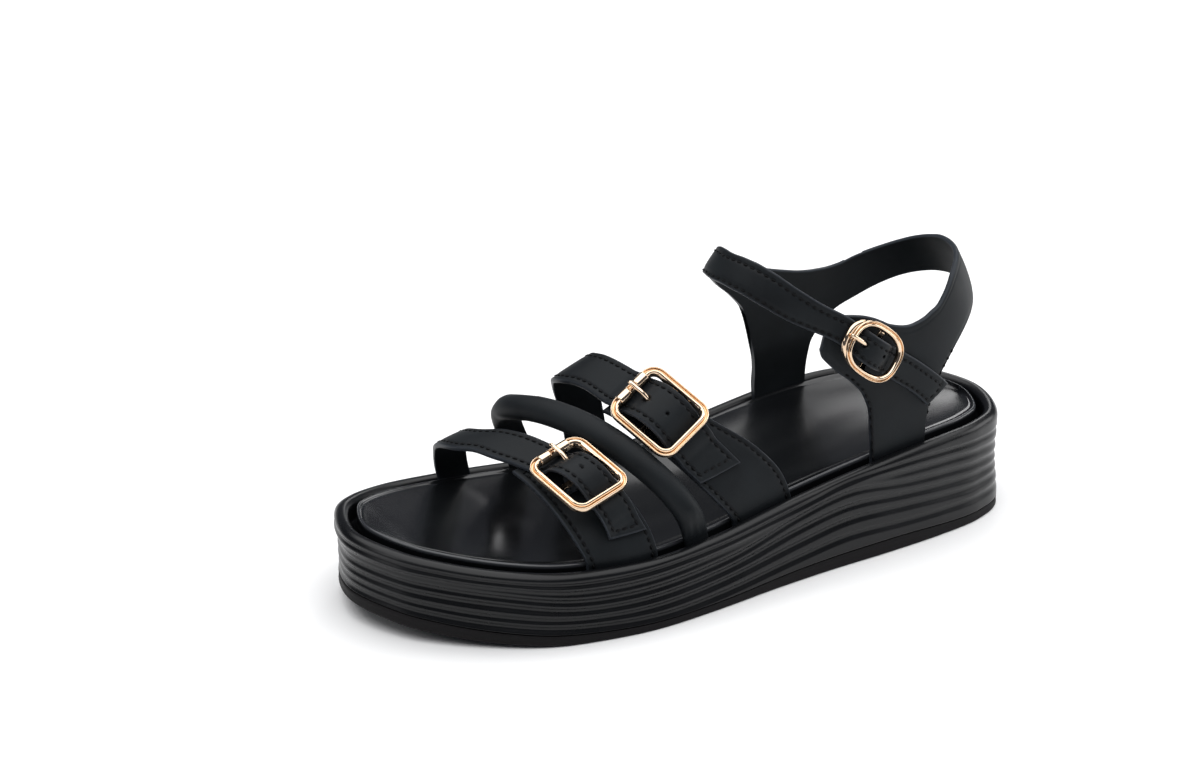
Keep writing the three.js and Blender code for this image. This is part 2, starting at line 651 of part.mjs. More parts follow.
function squareBuckle(place, { length, width, corner, wire: r }) {
  wire.up = place.n;
  const frame = roundedFrame(length - 2 * r, width - 2 * r, corner - r)
    .map(([a, b]) => inSeat(place, a, b, 0));
  const half = width / 2 - r;
  const bar = [-half, -half + 1.5, half - 1.5, half]
    .map((b) => inSeat(place, 0, b, Math.abs(b) === half ? -0.6 : -BAR.drop));
  const roller = [-1, 1].map((k) => inSeat(place, r - length / 2, k * (half - corner + r - 0.6), 0));
  return join(wire(frame, r, 8, true), wire(bar, BAR.radius, 8, false), wire(roller, SLEEVE.radius, 10, false));
}

// an oval ring; on the side away from the strap's tip a second arc swells out of it
function ovalBuckle(place, { length, width, wire: r, squareness }) {
  wire.up = place.n;
  const steps = 30;
  const a = length / 2 - r - ANKLE_BAR;
  const b = width / 2 - r;
  const round = (k) => Math.sign(k) * Math.abs(k) ** (2 / squareness);
  const ring = Array.from({ length: steps }, (_, i) => {
    const angle = i / steps * Math.PI * 2;
    return inSeat(place, ANKLE_BAR + a * round(Math.cos(angle)), b * round(Math.sin(angle)), 0);
  });
  const arcSteps = 12;
  const crescent = Array.from({ length: arcSteps + 1 }, (_, i) => {
    const angle = THREE.MathUtils.degToRad(lerp(100, 260, i / arcSteps));
    const swell = 2.2 * Math.sin(i / arcSteps * Math.PI);
    return inSeat(place, ANKLE_BAR + (a + swell) * round(Math.cos(angle)), b * round(Math.sin(angle)), -0.8);
  });
  const half = b;
  const bar = [-half, -half + 1.5, half - 1.5, half]
    .map((c) => inSeat(place, ANKLE_BAR, c, Math.abs(c) === half ? -0.6 : -BAR.drop));
  return join(wire(ring, r, 8, true), wire(crescent, r * 0.8, 6, false), wire(bar, BAR.radius, 8, false));
}

// the prong's line: from its loop round the centre bar, up through the strap, to rest on the end bar
function prongLine(place, barAt, reach, endRadius) {
  const rest = endRadius + GAP + PRONG.radius;
  return [
    [barAt - 1.6, -BAR.drop + 0.2], [barAt - 4, 0], [barAt - 6.4, rest * 0.62],
    [barAt - 8.6, rest * 0.95], [-reach + 1.5, rest], [-reach - 0.6, rest], [-reach - 2.0, rest - 0.5],
  ].map(([s, n]) => inSeat(place, s, 0, n));
}

function prong(place, barAt, reach, endRadius) {
  wire.up = place.w;
  const line = prongLine(place, barAt, reach, endRadius);
  const shank = wire(line, (k) => PRONG.radius * (k > 0.95 ? 0.6 : 1), 8, false);
  wire.up = place.n;
  const across = (half) => [-half, half].map((b) => inSeat(place, barAt, b, -BAR.drop));
  const loop = wire(across(PRONG.ring / 2), BAR.radius + GAP + PRONG.wall, 8, false);
  const bore = wire(across(PRONG.ring), BAR.radius + GAP, 8, false);
  return cut(join(loop, shank), bore);
}

// two loops of leather on a base that hold a buckle's centre bar
function keepers(base, place, barAt, reachDown) {
  wire.up = place.n;
  const at = (b, down) => inSeat(place, barAt, b, -BAR.drop - down);
  const bore = wire([at(-20, 0), at(20, 0)], BAR.radius + GAP, 8, false);
  const tabs = [-1, 1].map((side) => {
    const ends = [side * KEEPER.from, side * KEEPER.to];
    const loop = wire(ends.map((b) => at(b, 0)), BAR.radius + GAP + KEEPER.wall, 8, false);
    const web = new THREE.BoxGeometry(1.4, KEEPER.to - KEEPER.from, reachDown);
    const middle = at(side * (KEEPER.from + KEEPER.to) / 2, BAR.radius + GAP + reachDown / 2 + 0.1);
    web.applyMatrix4(new THREE.Matrix4().makeBasis(place.s, place.w, place.n).setPosition(middle));
    return join(loop, welded(web));
  });
  return cut(join(base, ...tabs), bore);
}

function prongHole(place, barAt, reach, endRadius) {
  wire.up = place.w;
  return wire(prongLine(place, barAt, reach, endRadius), PRONG.radius + GAP + 0.1, 8, false);
}

// ---------- straps ----------
const evenly = (count) => Array.from({ length: count + 1 }, (_, i) => i / count);

// a sheet over a grid: point(u, v, lift) with u along it and v across it; under(u, v) is its lower face's lift
function sheet(stations, rows, point, under, thick) {
  const body = new Surface();
  const columns = stations.length - 1;
  const side = (extra) => stations.map((u) => evenly(rows).map((v) => body.add(point(u, v, under(u, v) + extra))));
  const low = side(0);
  const high = side(thick);
  for (let i = 1; i <= columns; i++) {
    body.strip(low[i - 1], low[i], false);
    body.strip(high[i], high[i - 1], false);
    body.quad(low[i - 1][0], low[i][0], high[i][0], high[i - 1][0]);
    body.quad(low[i][rows], low[i - 1][rows], high[i - 1][rows], high[i][rows]);
  }
  for (let j = 1; j <= rows; j++) {
    body.quad(low[0][j], low[0][j - 1], high[0][j - 1], high[0][j]);
    body.quad(low[columns][j - 1], low[columns][j], high[columns][j], high[columns][j - 1]);
  }
  return body.geometry();
}

// a strap lies at base off the last; at a buckle it follows the hump's table wherever that is higher, and
// the two are rounded into each other. at(height) is the strap's point at a height; the last's normals fan
// out, so the hump's height is found in steps.
function overBar(place, hump, at, base) {
  const end = hump.at(-1).s;
  const arm = (height) => at(height).sub(place.origin);
  const foot = arm(0);
  const window = clamp01((end - Math.abs(foot.dot(place.s))) / 3);
  if (foot.length() > 30 || window === 0) return base;
  let high = base;
  for (let step = 0; step < 5; step++) {
    const to = arm(high);
    const s = THREE.MathUtils.clamp(to.dot(place.s), -end, end);
    high += smooth(hump, 's', s, 'n') - LEATHER - to.dot(place.n);
  }
  const over = high - base;
  return base + (over + Math.hypot(over, 0.9)) / 2 * window;
}

function vampBase(table) {
  const at = (u) => lerp(table[0].t, table.at(-1).t, u);
  const point = (u, v, lift) =>
    onVamp(lerp(smooth(table, 't', at(u), 'back'), smooth(table, 't', at(u), 'front'), v), at(u), lift);
  return sheet(evenly(20), 4, point, () => 0, LEATHER);
}

// a buckled band lies over its base, and comes down to the last on its way to the groove
function vampBand(table, place, hump) {
  const at = (u) => lerp(table[0].t, table.at(-1).t, u);
  const lie = (t) => (LEATHER + OVER) * (1 - ease(clamp01((t - 0.25) / 0.6)));
  const under = (u, v) => overBar(place, hump, (height) => point(u, v, height), lie(at(u)));
  const point = (u, v, lift) =>
    onVamp(lerp(smooth(table, 't', at(u), 'back'), smooth(table, 't', at(u), 'front'), v), at(u), lift);
  return sheet(evenly(46), 4, point, under, LEATHER);
}

// the padded strap: an oval section that flattens where it goes down the groove
const TUBE_SIZE = { width: 10, height: 8.6 };
function tubeStrap() {
  const body = new Surface();
  const columns = 34;
  const sides = 10;
  const rings = Array.from({ length: columns + 1 }, (_, i) => {
    const t = lerp(-1.2, 1.2, i / columns);
    const fill = ease(clamp01(t < 0 ? (t + 1.02) / 0.22 : (0.72 - t) / 0.5));
    const high = lerp(LEATHER, TUBE_SIZE.height, fill);
    const x = smooth(TUBE, 't', t, 'x');
    return Array.from({ length: sides }, (_, k) => {
      const a = (k + 0.5) / sides * Math.PI * 2;
      const squash = lerp(0.25, 1, fill);
      const up = Math.sign(Math.sin(a)) * Math.abs(Math.sin(a)) ** squash;
      return body.add(onVamp(x + Math.cos(a) * TUBE_SIZE.width / 2, t, high / 2 * (1 + up)));
    });
  });
  for (let i = 1; i <= columns; i++) body.strip(rings[i - 1], rings[i], true);
  for (let k = 1; k < sides - 1; k++) {
    body.triangle(rings[0][0], rings[0][k + 1], rings[0][k]);
    body.triangle(rings[columns][0], rings[columns][k], rings[columns][k + 1]);
  }
  return body.geometry();
}

// the ankle piece: one sheet over its ribs
const ANKLE_ROWS = 5;
// the oval's back half turns a given way forward in about half the degrees of its front half; edges are
// drawn in degrees of equal way, so that they pass from one half to the other without a kink
const SWING = [
  { angle: -90, way: -90 },
  { angle: 90, way: 90 },
  { angle: 270, way: 176 },
  { angle: 450, way: 356 },
  { angle: 630, way: 442 },
];
function along(from, to, value) {
  const i = Math.max(1, SWING.findIndex((row) => value <= row[from]));
  const [a, b] = [SWING[i - 1], SWING[i]];
  return lerp(a[to], b[to], (value - a[from]) / (b[from] - a[from]));
}
const swing = (angle) => along('angle', 'way', angle);
const unswing = (way) => along('way', 'angle', way);

function ribValue(column, u) {
  const read = (rib) => {
    if (rib[column] === GROOVE) return grooveFoot(rib);
    return column.endsWith('Angle') ? swing(rib[column]) : rib[column];
  };
  const rows = ANKLE_RIBS.map((rib, i) => ({ i, value: read(rib) }));
  return smooth(rows, 'i', u * (ANKLE_RIBS.length - 1), 'value', true);
}
const grooveFoot = (rib) => crest(ankleLast(rib.lowAngle, 38).x) - TUCK;

function ankleUpper() {
  // the first row of a leg ends where it leaves the groove, so that its straight foot stays straight
  const point = (u, v, lift) => {
    const [low, high] = [ribValue('lowZ', u), ribValue('highZ', u)];
    const [lowWay, highWay] = [ribValue('lowAngle', u), ribValue('highAngle', u)];
    const hem = Math.max(crest(ankleLast(unswing(lowWay), 38).x) + STRAIGHT + 0.5, lerp(low, high, 0.12));
    const first = 1 / ANKLE_ROWS;
    const z = v <= first ? lerp(low, hem, v / first) : lerp(hem, high, (v - first) / (1 - first));
    return onAnkle(unswing(lerp(lowWay, highWay, (z - low) / (high - low))), z, lift);
  };
  const strapStart = 0.84;
  const under = (u, v) => {
    const lie = ribValue('lift', u);
    return u < strapStart ? lie : overBar(ankleSeat, ANKLE_HUMP, (height) => point(u, v, height), lie);
  };
  const last = ANKLE_RIBS.length - 1;
  const stations = ANKLE_RIBS.flatMap((rib, i) => {
    const leavesGroove = (rib.lowZ === GROOVE) !== (ANKLE_RIBS[i + 1]?.lowZ === GROOVE);
    const sling = rib.lowAngle > 112 && rib.lowAngle < 260;
    const parts = i === last || sling ? 1 : rib.lowAngle > 410 ? 5 : leavesGroove ? 4 : 2;
    return Array.from({ length: parts }, (_, k) => (i + k / parts) / last);
  });
  return sheet(stations, ANKLE_ROWS, point, under, LEATHER);
}

// ---------- finishes ----------
const finish = (color, roughness, metalness = 0) => new THREE.MeshStandardMaterial({ color, roughness, metalness });
const strapLeather = finish(0x1c1f24, 0.62);
const insoleLeather = finish(0x121316, 0.3);
const foam = finish(0x16181b, 0.5);
const rubber = finish(0x222024, 0.6);
const goldPlate = finish(0xe8c9a0, 0.2, 1);

// ---------- the shoe ----------
const shoe = new THREE.Group();
function piece(name, shape, material) {
  const mesh = new THREE.Mesh(shape, material);
  mesh.name = name;
  mesh.position.set(-MIDDLE.x, -MIDDLE.y, 0);
  shoe.add(mesh);
}

const reach = ({ length, wire: r }) => length / 2 - r;
const toeProng = [toeSeat, 0, reach(TOE_BUCKLE), SLEEVE.radius];
const instepProng = [instepSeat, 0, reach(INSTEP_BUCKLE), SLEEVE.radius];
const ankleProng = [ankleSeat, ANKLE_BAR, reach(ANKLE_BUCKLE) - ANKLE_BAR, ANKLE_BUCKLE.wire];

piece('outsole', outsole(), rubber);
piece('midsole', midsole(), foam);
piece('insole', insole(), insoleLeather);
piece('toe_strap_base', keepers(vampBase(TOE_BASE), toeSeat, 0, 3.8), strapLeather);
piece('toe_strap', cut(vampBand(TOE_BAND, toeSeat, TOE_HUMP), prongHole(...toeProng)), strapLeather);
piece('tube_strap', tubeStrap(), strapLeather);
piece('instep_strap_base', keepers(vampBase(INSTEP_BASE), instepSeat, 0, 3.8), strapLeather);
piece(
  'instep_strap',
  cut(vampBand(INSTEP_BAND, instepSeat, INSTEP_HUMP), prongHole(...instepProng)),
  strapLeather,
);
piece('ankle_upper', keepers(cut(ankleUpper(), prongHole(...ankleProng)), ankleSeat, ANKLE_BAR, 3.2), strapLeather);
piece('toe_buckle', squareBuckle(toeSeat, TOE_BUCKLE), goldPlate);
piece('instep_buckle', squareBuckle(instepSeat, INSTEP_BUCKLE), goldPlate);
piece('ankle_buckle', ovalBuckle(ankleSeat, ANKLE_BUCKLE), goldPlate);
piece('toe_prong', prong(...toeProng), goldPlate);
piece('instep_prong', prong(...instepProng), goldPlate);
piece('ankle_prong', prong(...ankleProng), goldPlate);

export default shoe;
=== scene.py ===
# %% [markdown]
# # A left flatform sandal in black leather
# This script dresses a packed sandal. The frame gives every part its place; each cell below makes one part
# again as a fine surface that stands exactly where the plain one was, and gives it its finish. Nearly every
# shape is a formula worked out for a whole array of points at once, which is why numpy does the work and
# Blender only receives finished points and faces.

# %% Load the frame
import math

import bpy
import numpy as np
from mathutils import Matrix, Vector


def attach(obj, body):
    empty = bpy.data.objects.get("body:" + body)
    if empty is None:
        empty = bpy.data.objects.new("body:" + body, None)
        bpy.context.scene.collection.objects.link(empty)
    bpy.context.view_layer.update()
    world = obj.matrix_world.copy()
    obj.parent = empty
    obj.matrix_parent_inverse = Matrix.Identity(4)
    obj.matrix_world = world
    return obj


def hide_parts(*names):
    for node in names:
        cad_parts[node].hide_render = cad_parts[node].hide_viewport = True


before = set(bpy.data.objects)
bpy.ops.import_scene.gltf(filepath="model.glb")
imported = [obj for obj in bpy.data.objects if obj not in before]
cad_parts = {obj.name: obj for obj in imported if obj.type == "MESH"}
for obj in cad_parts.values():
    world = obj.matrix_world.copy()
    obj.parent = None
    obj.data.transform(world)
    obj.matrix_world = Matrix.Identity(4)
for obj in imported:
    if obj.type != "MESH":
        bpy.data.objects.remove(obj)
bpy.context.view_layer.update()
print("frame", sorted(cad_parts))

# %% [markdown]
# ## Camera
# A long lens far away keeps the shoe's proportions true, as catalogue pictures do. The camera looks down at
# the outer side from in front of the toe, and aims a little past the shoe so that it sits low in the picture.

# %% Camera
AZIMUTH = math.radians(31.43)       # from straight beside the shoe towards its toe
HEIGHT = math.radians(24.95)        # above the floor
ROLL = math.radians(0.61)
DISTANCE = 1.35                     # metres
LENS = 110.8                        # millimetres on a 36 mm sensor
TARGET = Vector((0.0005, -0.0012, 0.03))
AIM_LEFT, AIM_UP = 0.02115, 0.02426     # how far the view's middle lies from the target, as slopes


def make_camera():
    """Stands on a sphere round the target; right and up are turned by the roll, then the aim is moved."""
    level_reach = math.cos(HEIGHT)
    out = Vector((math.sin(AZIMUTH) * level_reach, math.cos(AZIMUTH) * level_reach, math.sin(HEIGHT)))
    level = (-out).cross(Vector((0, 0, 1))).normalized()
    upright = level.cross(-out)
    right = math.cos(ROLL) * level + math.sin(ROLL) * upright
    up = math.cos(ROLL) * upright - math.sin(ROLL) * level
    forward = (-out - right * AIM_LEFT + up * AIM_UP).normalized()
    right = (right - forward * right.dot(forward)).normalized()
    up = right.cross(forward)
    camera = bpy.data.objects.new("camera", bpy.data.cameras.new("camera"))
    bpy.context.scene.collection.objects.link(camera)
    camera.data.lens = LENS
    camera.data.sensor_width = 36
    camera.data.clip_start = 0.05
    camera.data.clip_end = 30
    turn = Matrix((right, up, -forward)).transposed().to_4x4()
    camera.matrix_world = Matrix.Translation(TARGET + out * DISTANCE) @ turn
    bpy.context.scene.camera = camera
    return camera


camera = make_camera()
print("camera at", [round(c, 3) for c in camera.matrix_world.translation])

# %% [markdown]
# ## Colours and nodes
# Finishes are picked as sRGB hex values, because that is how a colour card is read. Shaders work in linear
# light, so one function converts them. A second small function adds any node with its settings and links.

# %% Colour and node helpers
MM = 0.001


def linear(hex_code):
    """sRGB to linear: c / 12.92 below 0.04045, else ((c + 0.055) / 1.055) to the power 2.4."""
    channels = np.array([int(hex_code[i : i + 2], 16) for i in (0, 2, 4)]) / 255
    light = np.where(channels <= 0.04045, channels / 12.92, ((channels + 0.055) / 1.055) ** 2.4)
    return (*light.tolist(), 1.0)


def add_node(material, kind, inputs=None, **settings):
    """Adds a node, sets its properties, and gives each named input a value or a link from another socket."""
    tree = material.node_tree
    made = tree.nodes.new(kind)
    for name, value in settings.items():
        setattr(made, name, value)
    for name, value in (inputs or {}).items():
        if isinstance(value, bpy.types.NodeSocket):
            tree.links.new(value, made.inputs[name])
        else:
            made.inputs[name].default_value = value
    return made


def new_material(name):
    """An empty node tree under a name."""
    material = bpy.data.materials.new(name)
    material.use_nodes = True
    material.node_tree.nodes.clear()
    return material


def finish_material(material, inputs, bump=None):
    """A Principled shader with these inputs; bump is (height socket, strength, depth in metres)."""
    if bump:
        height, strength, depth = bump
        inputs["Normal"] = add_node(
            material, "ShaderNodeBump", {"Height": height, "Strength": strength, "Distance": depth}
        ).outputs[0]
    shader = add_node(material, "ShaderNodeBsdfPrincipled", inputs)
    add_node(material, "ShaderNodeOutputMaterial", {"Surface": shader.outputs[0]})
    return material


# %% [markdown]
# ## Leather
# The straps are chrome-tanned cow leather, corrected and pigmented black with a cool cast: a matt, almost
# even surface with a tight grain. Three patterns make it: a cloudy one for the pigment, a grain of cells
# about 0.6 mm across, and two marks that come from the mesh as attributes. "rim" is 1 on the cut and inked
# edge, which is painted greyer for the ink and lighter still as a painted highlight line along the edge. The
# other mark is 1 where a stitch pulls the leather down and in the punched holes, and there the colour is
# painted near black as painted shade in the dents and holes.

# %% Strap leather
GRAIN_MM = 0.6                      # real cells are about 0.3 mm, drawn coarser so that they show


def strap_leather():
    """Pigmented smooth leather: soft broad highlight, cool black, a slightly greyer, glossier inked edge that
    is also painted lighter as a highlight line, and stitch dents and holes painted near black as shade.
    """
    m = new_material("pigmented_cow_leather_black")
    place = add_node(m, "ShaderNodeTexCoord").outputs["Object"]
    cloud = add_node(
        m, "ShaderNodeTexNoise", {"Vector": place, "Scale": 1 / (14 * MM), "Detail": 4.0, "Roughness": 0.55}
    ).outputs["Fac"]
    cells = add_node(
        m, "ShaderNodeTexVoronoi", {"Vector": place, "Scale": 1 / (GRAIN_MM * MM), "Randomness": 1.0}
    ).outputs["Distance"]
    pores = add_node(
        m, "ShaderNodeTexNoise", {"Vector": place, "Scale": 1 / (0.35 * MM), "Detail": 2.0, "Roughness": 0.6}
    ).outputs["Fac"]
    rim = add_node(m, "ShaderNodeAttribute", attribute_name="rim").outputs["Fac"]
    painted_hole_shade = add_node(m, "ShaderNodeAttribute", attribute_name="painted_hole_shade").outputs["Fac"]
    patchy = add_node(m, "ShaderNodeMapRange", {"Value": cloud, "From Min": 0.3, "From Max": 0.7}).outputs[0]
    dye = add_node(
        m, "ShaderNodeMix", {0: patchy, 6: linear("111417"), 7: linear("181c1f")}, data_type="RGBA"
    ).outputs[2]
    # the cut edge is mixed towards a lighter grey: partly the edge ink, partly a painted highlight line
    edge_colour_and_highlight = add_node(m, "ShaderNodeMapRange", {"Value": rim, "To Max": 0.75}).outputs[0]
    inked_and_highlit = add_node(m, "ShaderNodeMix", {0: edge_colour_and_highlight, 6: dye, 7: linear("30343a")}, data_type="RGBA").outputs[2]
    # painted shade: stitch dents and punched holes are darkened to near black
    painted_pit_shade = add_node(m, "ShaderNodeMapRange", {"Value": painted_hole_shade, "To Max": 0.9}).outputs[0]
    colour = add_node(
        m, "ShaderNodeMix", {0: painted_pit_shade, 6: inked_and_highlit, 7: linear("050506")}, data_type="RGBA"
    ).outputs[2]
    worn = add_node(m, "ShaderNodeMapRange", {"Value": patchy, "To Min": 0.5, "To Max": 0.6}).outputs[0]
    glaze = add_node(m, "ShaderNodeMapRange", {"Value": rim, "To Max": 0.14}).outputs[0]
    rough = add_node(m, "ShaderNodeMath", {0: worn, 1: glaze}, operation="SUBTRACT").outputs[0]
    grain = add_node(
        m, "ShaderNodeMath", {0: cells, 1: 0.7, 2: pores}, operation="MULTIPLY_ADD"
    ).outputs[0]
    return finish_material(
        m, {"Base Color": colour, "Roughness": rough, "IOR": 1.5, "Specular IOR Level": 0.16},
        bump=(grain, 0.22, 0.05 * MM),
    )


# %% [markdown]
# ## Lining, insole, platform, tread, thread and gold
# Each of the other finishes is one short function with the same three questions behind it: what is it
# made of, how was its surface made, and what does that do to light.

# %% Insole leather
def insole_leather():
    """Glazed lining leather over foam: polished under pressure, so it mirrors softly, with faint pulls. Its
    turned edge is painted lighter as a highlight line.
    """
    m = new_material("glazed_insole_leather_black")
    place = add_node(m, "ShaderNodeTexCoord").outputs["Object"]
    pulled = add_node(m, "ShaderNodeMapping", {"Vector": place, "Scale": (0.35, 1.0, 1.0)}).outputs[0]
    cloud = add_node(
        m, "ShaderNodeTexNoise", {"Vector": pulled, "Scale": 1 / (18 * MM), "Detail": 3.0, "Roughness": 0.5}
    ).outputs["Fac"]
    grain = add_node(
        m, "ShaderNodeTexNoise", {"Vector": place, "Scale": 1 / (0.5 * MM), "Detail": 3.0, "Roughness": 0.6}
    ).outputs["Fac"]
    rim = add_node(m, "ShaderNodeAttribute", attribute_name="rim").outputs["Fac"]
    patchy = add_node(m, "ShaderNodeMapRange", {"Value": cloud, "From Min": 0.3, "From Max": 0.7}).outputs[0]
    dye = add_node(
        m, "ShaderNodeMix", {0: patchy, 6: linear("0b0c0e"), 7: linear("101214")}, data_type="RGBA"
    ).outputs[2]
    # painted highlight: the turned edge is mixed towards a light grey, a bright line drawn into the colour
    edge_colour_and_highlight = add_node(m, "ShaderNodeMapRange", {"Value": rim, "To Max": 0.8}).outputs[0]
    colour = add_node(m, "ShaderNodeMix", {0: edge_colour_and_highlight, 6: dye, 7: linear("3a3c40")}, data_type="RGBA").outputs[2]
    rough = add_node(m, "ShaderNodeMapRange", {"Value": patchy, "To Min": 0.2, "To Max": 0.26}).outputs[0]
    return finish_material(
        m, {"Base Color": colour, "Roughness": rough, "IOR": 1.5},
        bump=(grain, 0.1, 0.05 * MM),
    )


# %% Platform foam
def platform_foam():
    """Moulded EVA with a skin: satin, faintly purple-black, the mould's fine spark-eroded texture."""
    m = new_material("moulded_eva_skin_black")
    place = add_node(m, "ShaderNodeTexCoord").outputs["Object"]
    cloud = add_node(
        m, "ShaderNodeTexNoise", {"Vector": place, "Scale": 1 / (25 * MM), "Detail": 3.0, "Roughness": 0.5}
    ).outputs["Fac"]
    spark = add_node(
        m, "ShaderNodeTexNoise", {"Vector": place, "Scale": 1 / (0.4 * MM), "Detail": 2.0, "Roughness": 0.5}
    ).outputs["Fac"]
    patchy = add_node(m, "ShaderNodeMapRange", {"Value": cloud, "From Min": 0.3, "From Max": 0.7}).outputs[0]
    colour = add_node(
        m, "ShaderNodeMix", {0: patchy, 6: linear("07080a"), 7: linear("0b0c0f")}, data_type="RGBA"
    ).outputs[2]
    rough = add_node(m, "ShaderNodeMapRange", {"Value": patchy, "To Min": 0.26, "To Max": 0.33}).outputs[0]
    return finish_material(
        m, {"Base Color": colour, "Roughness": rough, "IOR": 1.5, "Specular IOR Level": 0.3},
        bump=(spark, 0.14, 0.04 * MM),
    )


# %% Tread rubber
def tread_rubber():
    """Moulded thermoplastic rubber: duller and a touch browner than the foam."""
    m = new_material("moulded_tpr_rubber_black")
    place = add_node(m, "ShaderNodeTexCoord").outputs["Object"]
    cloud = add_node(
        m, "ShaderNodeTexNoise", {"Vector": place, "Scale": 1 / (9 * MM), "Detail": 5.0, "Roughness": 0.6}
    ).outputs["Fac"]
    spark = add_node(
        m, "ShaderNodeTexNoise", {"Vector": place, "Scale": 1 / (0.45 * MM), "Detail": 2.0, "Roughness": 0.5}
    ).outputs["Fac"]
    patchy = add_node(m, "ShaderNodeMapRange", {"Value": cloud, "From Min": 0.3, "From Max": 0.7}).outputs[0]
    colour = add_node(
        m, "ShaderNodeMix", {0: patchy, 6: linear("0f0e0f"), 7: linear("151315")}, data_type="RGBA"
    ).outputs[2]
    rough = add_node(m, "ShaderNodeMapRange", {"Value": patchy, "To Min": 0.55, "To Max": 0.68}).outputs[0]
    return finish_material(
        m, {"Base Color": colour, "Roughness": rough, "IOR": 1.5, "Specular IOR Level": 0.15},
        bump=(spark, 0.25, 0.05 * MM),
    )


# %% Thread
def bonded_thread():
    """Bonded polyester thread: twisted plies show as fine slanting lines, with a little sheen."""
    m = new_material("bonded_polyester_thread_black")
    place = add_node(m, "ShaderNodeTexCoord").outputs["Object"]
    ply = add_node(
        m, "ShaderNodeTexWave", {"Vector": place, "Scale": 1 / (1.2 * MM), "Distortion": 1.5},
        wave_type="BANDS", bands_direction="DIAGONAL",
    ).outputs["Fac"]
    colour = add_node(
        m, "ShaderNodeMix", {0: ply, 6: linear("020203"), 7: linear("0b0c0e")}, data_type="RGBA"
    ).outputs[2]
    return finish_material(
        m, {"Base Color": colour, "Roughness": 0.6, "Specular IOR Level": 0.15}, bump=(ply, 0.4, 0.05 * MM)
    )


# %% Gold plate
def gold_plate():
    """Zinc alloy, polished, copper-plated and flashed with pale gold: a mirror with faint polishing haze."""
    m = new_material("polished_pale_gold_plate")
    place = add_node(m, "ShaderNodeTexCoord").outputs["Object"]
    haze = add_node(
        m, "ShaderNodeTexNoise", {"Vector": place, "Scale": 1 / (4 * MM), "Detail": 3.0, "Roughness": 0.6}
    ).outputs["Fac"]
    patchy = add_node(m, "ShaderNodeMapRange", {"Value": haze, "From Min": 0.3, "From Max": 0.7}).outputs[0]
    colour = add_node(
        m, "ShaderNodeMix", {0: patchy, 6: linear("dcc0a2"), 7: linear("ead3ba")}, data_type="RGBA"
    ).outputs[2]
    rough = add_node(m, "ShaderNodeMapRange", {"Value": patchy, "To Min": 0.07, "To Max": 0.12}).outputs[0]
    return finish_material(m, {"Base Color": colour, "Metallic": 1.0, "Roughness": rough})


LEATHER_BLACK = strap_leather()
INSOLE_BLACK = insole_leather()
FOAM_BLACK = platform_foam()
RUBBER_BLACK = tread_rubber()
THREAD_BLACK = bonded_thread()
GOLD = gold_plate()
print("materials", [m.name for m in bpy.data.materials])

# %% [markdown]
# ## Working in millimetres from the heel
# A shoemaker measures from the back of the heel, so the shapes below do too: x = 0 at the heel and 262 at the
# toe, y to the outer side, z up. One function moves finished points to the frame's own origin, in metres.

# %% Points to meshes
SHOE_MIDDLE = np.array([130.5, 1.2, 0.0])


def to_frame(points):
    """Millimetres from the heel to metres in the frame: (p - middle) / 1000."""
    return (np.asarray(points, float).reshape(-1, 3) - SHOE_MIDDLE) * MM


def grid_quads(rows, columns, start=0, wrap=False):
    """Quads between neighbouring rows and columns of a grid; wrap joins the last column to the first."""
    index = start + np.arange(rows * columns).reshape(rows, columns)
    beside = np.roll(index, -1, axis=1)
    here, there = (index, beside) if wrap else (index[:, :-1], index[:, 1:])
    return np.stack([here[:-1], there[:-1], there[1:], here[1:]], axis=-1).reshape(-1, 4)


def outward(points, faces):
    """Flips every face if the volume, a sixth of the sum of a . (b x c), comes out negative."""
    corners = points[faces]
    volume = sum(
        np.einsum("ij,ij->i", corners[:, 0], np.cross(corners[:, k], corners[:, k + 1])).sum()
        for k in range(1, faces.shape[1] - 1)
    )
    return faces if volume > 0 else faces[:, ::-1]


def add_piece(name, points, faces, material, marks=None, replaces=()):
    """Makes one smooth closed mesh of the faces, which are one array of quads or several arrays."""
    groups = [faces] if isinstance(faces, np.ndarray) else faces
    placed = to_frame(points)
    mesh = bpy.data.meshes.new(name)
    mesh.from_pydata(placed.tolist(), [], [face for group in groups for face in group.tolist()])
    mesh.polygons.foreach_set("use_smooth", np.ones(len(mesh.polygons), bool))
    for mark, values in (marks or {}).items():
        attribute = mesh.attributes.new(mark, "FLOAT", "POINT")
        attribute.data.foreach_set("value", np.asarray(values, np.float32).ravel())
    mesh.materials.append(material)
    mesh.validate()
    piece = bpy.data.objects.new(name, mesh)
    bpy.context.scene.collection.objects.link(piece)
    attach(piece, "root")
    if replaces:
        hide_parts(*replaces)
    print(f"{name}: {len(placed)} points, {len(mesh.polygons)} faces")
    return piece


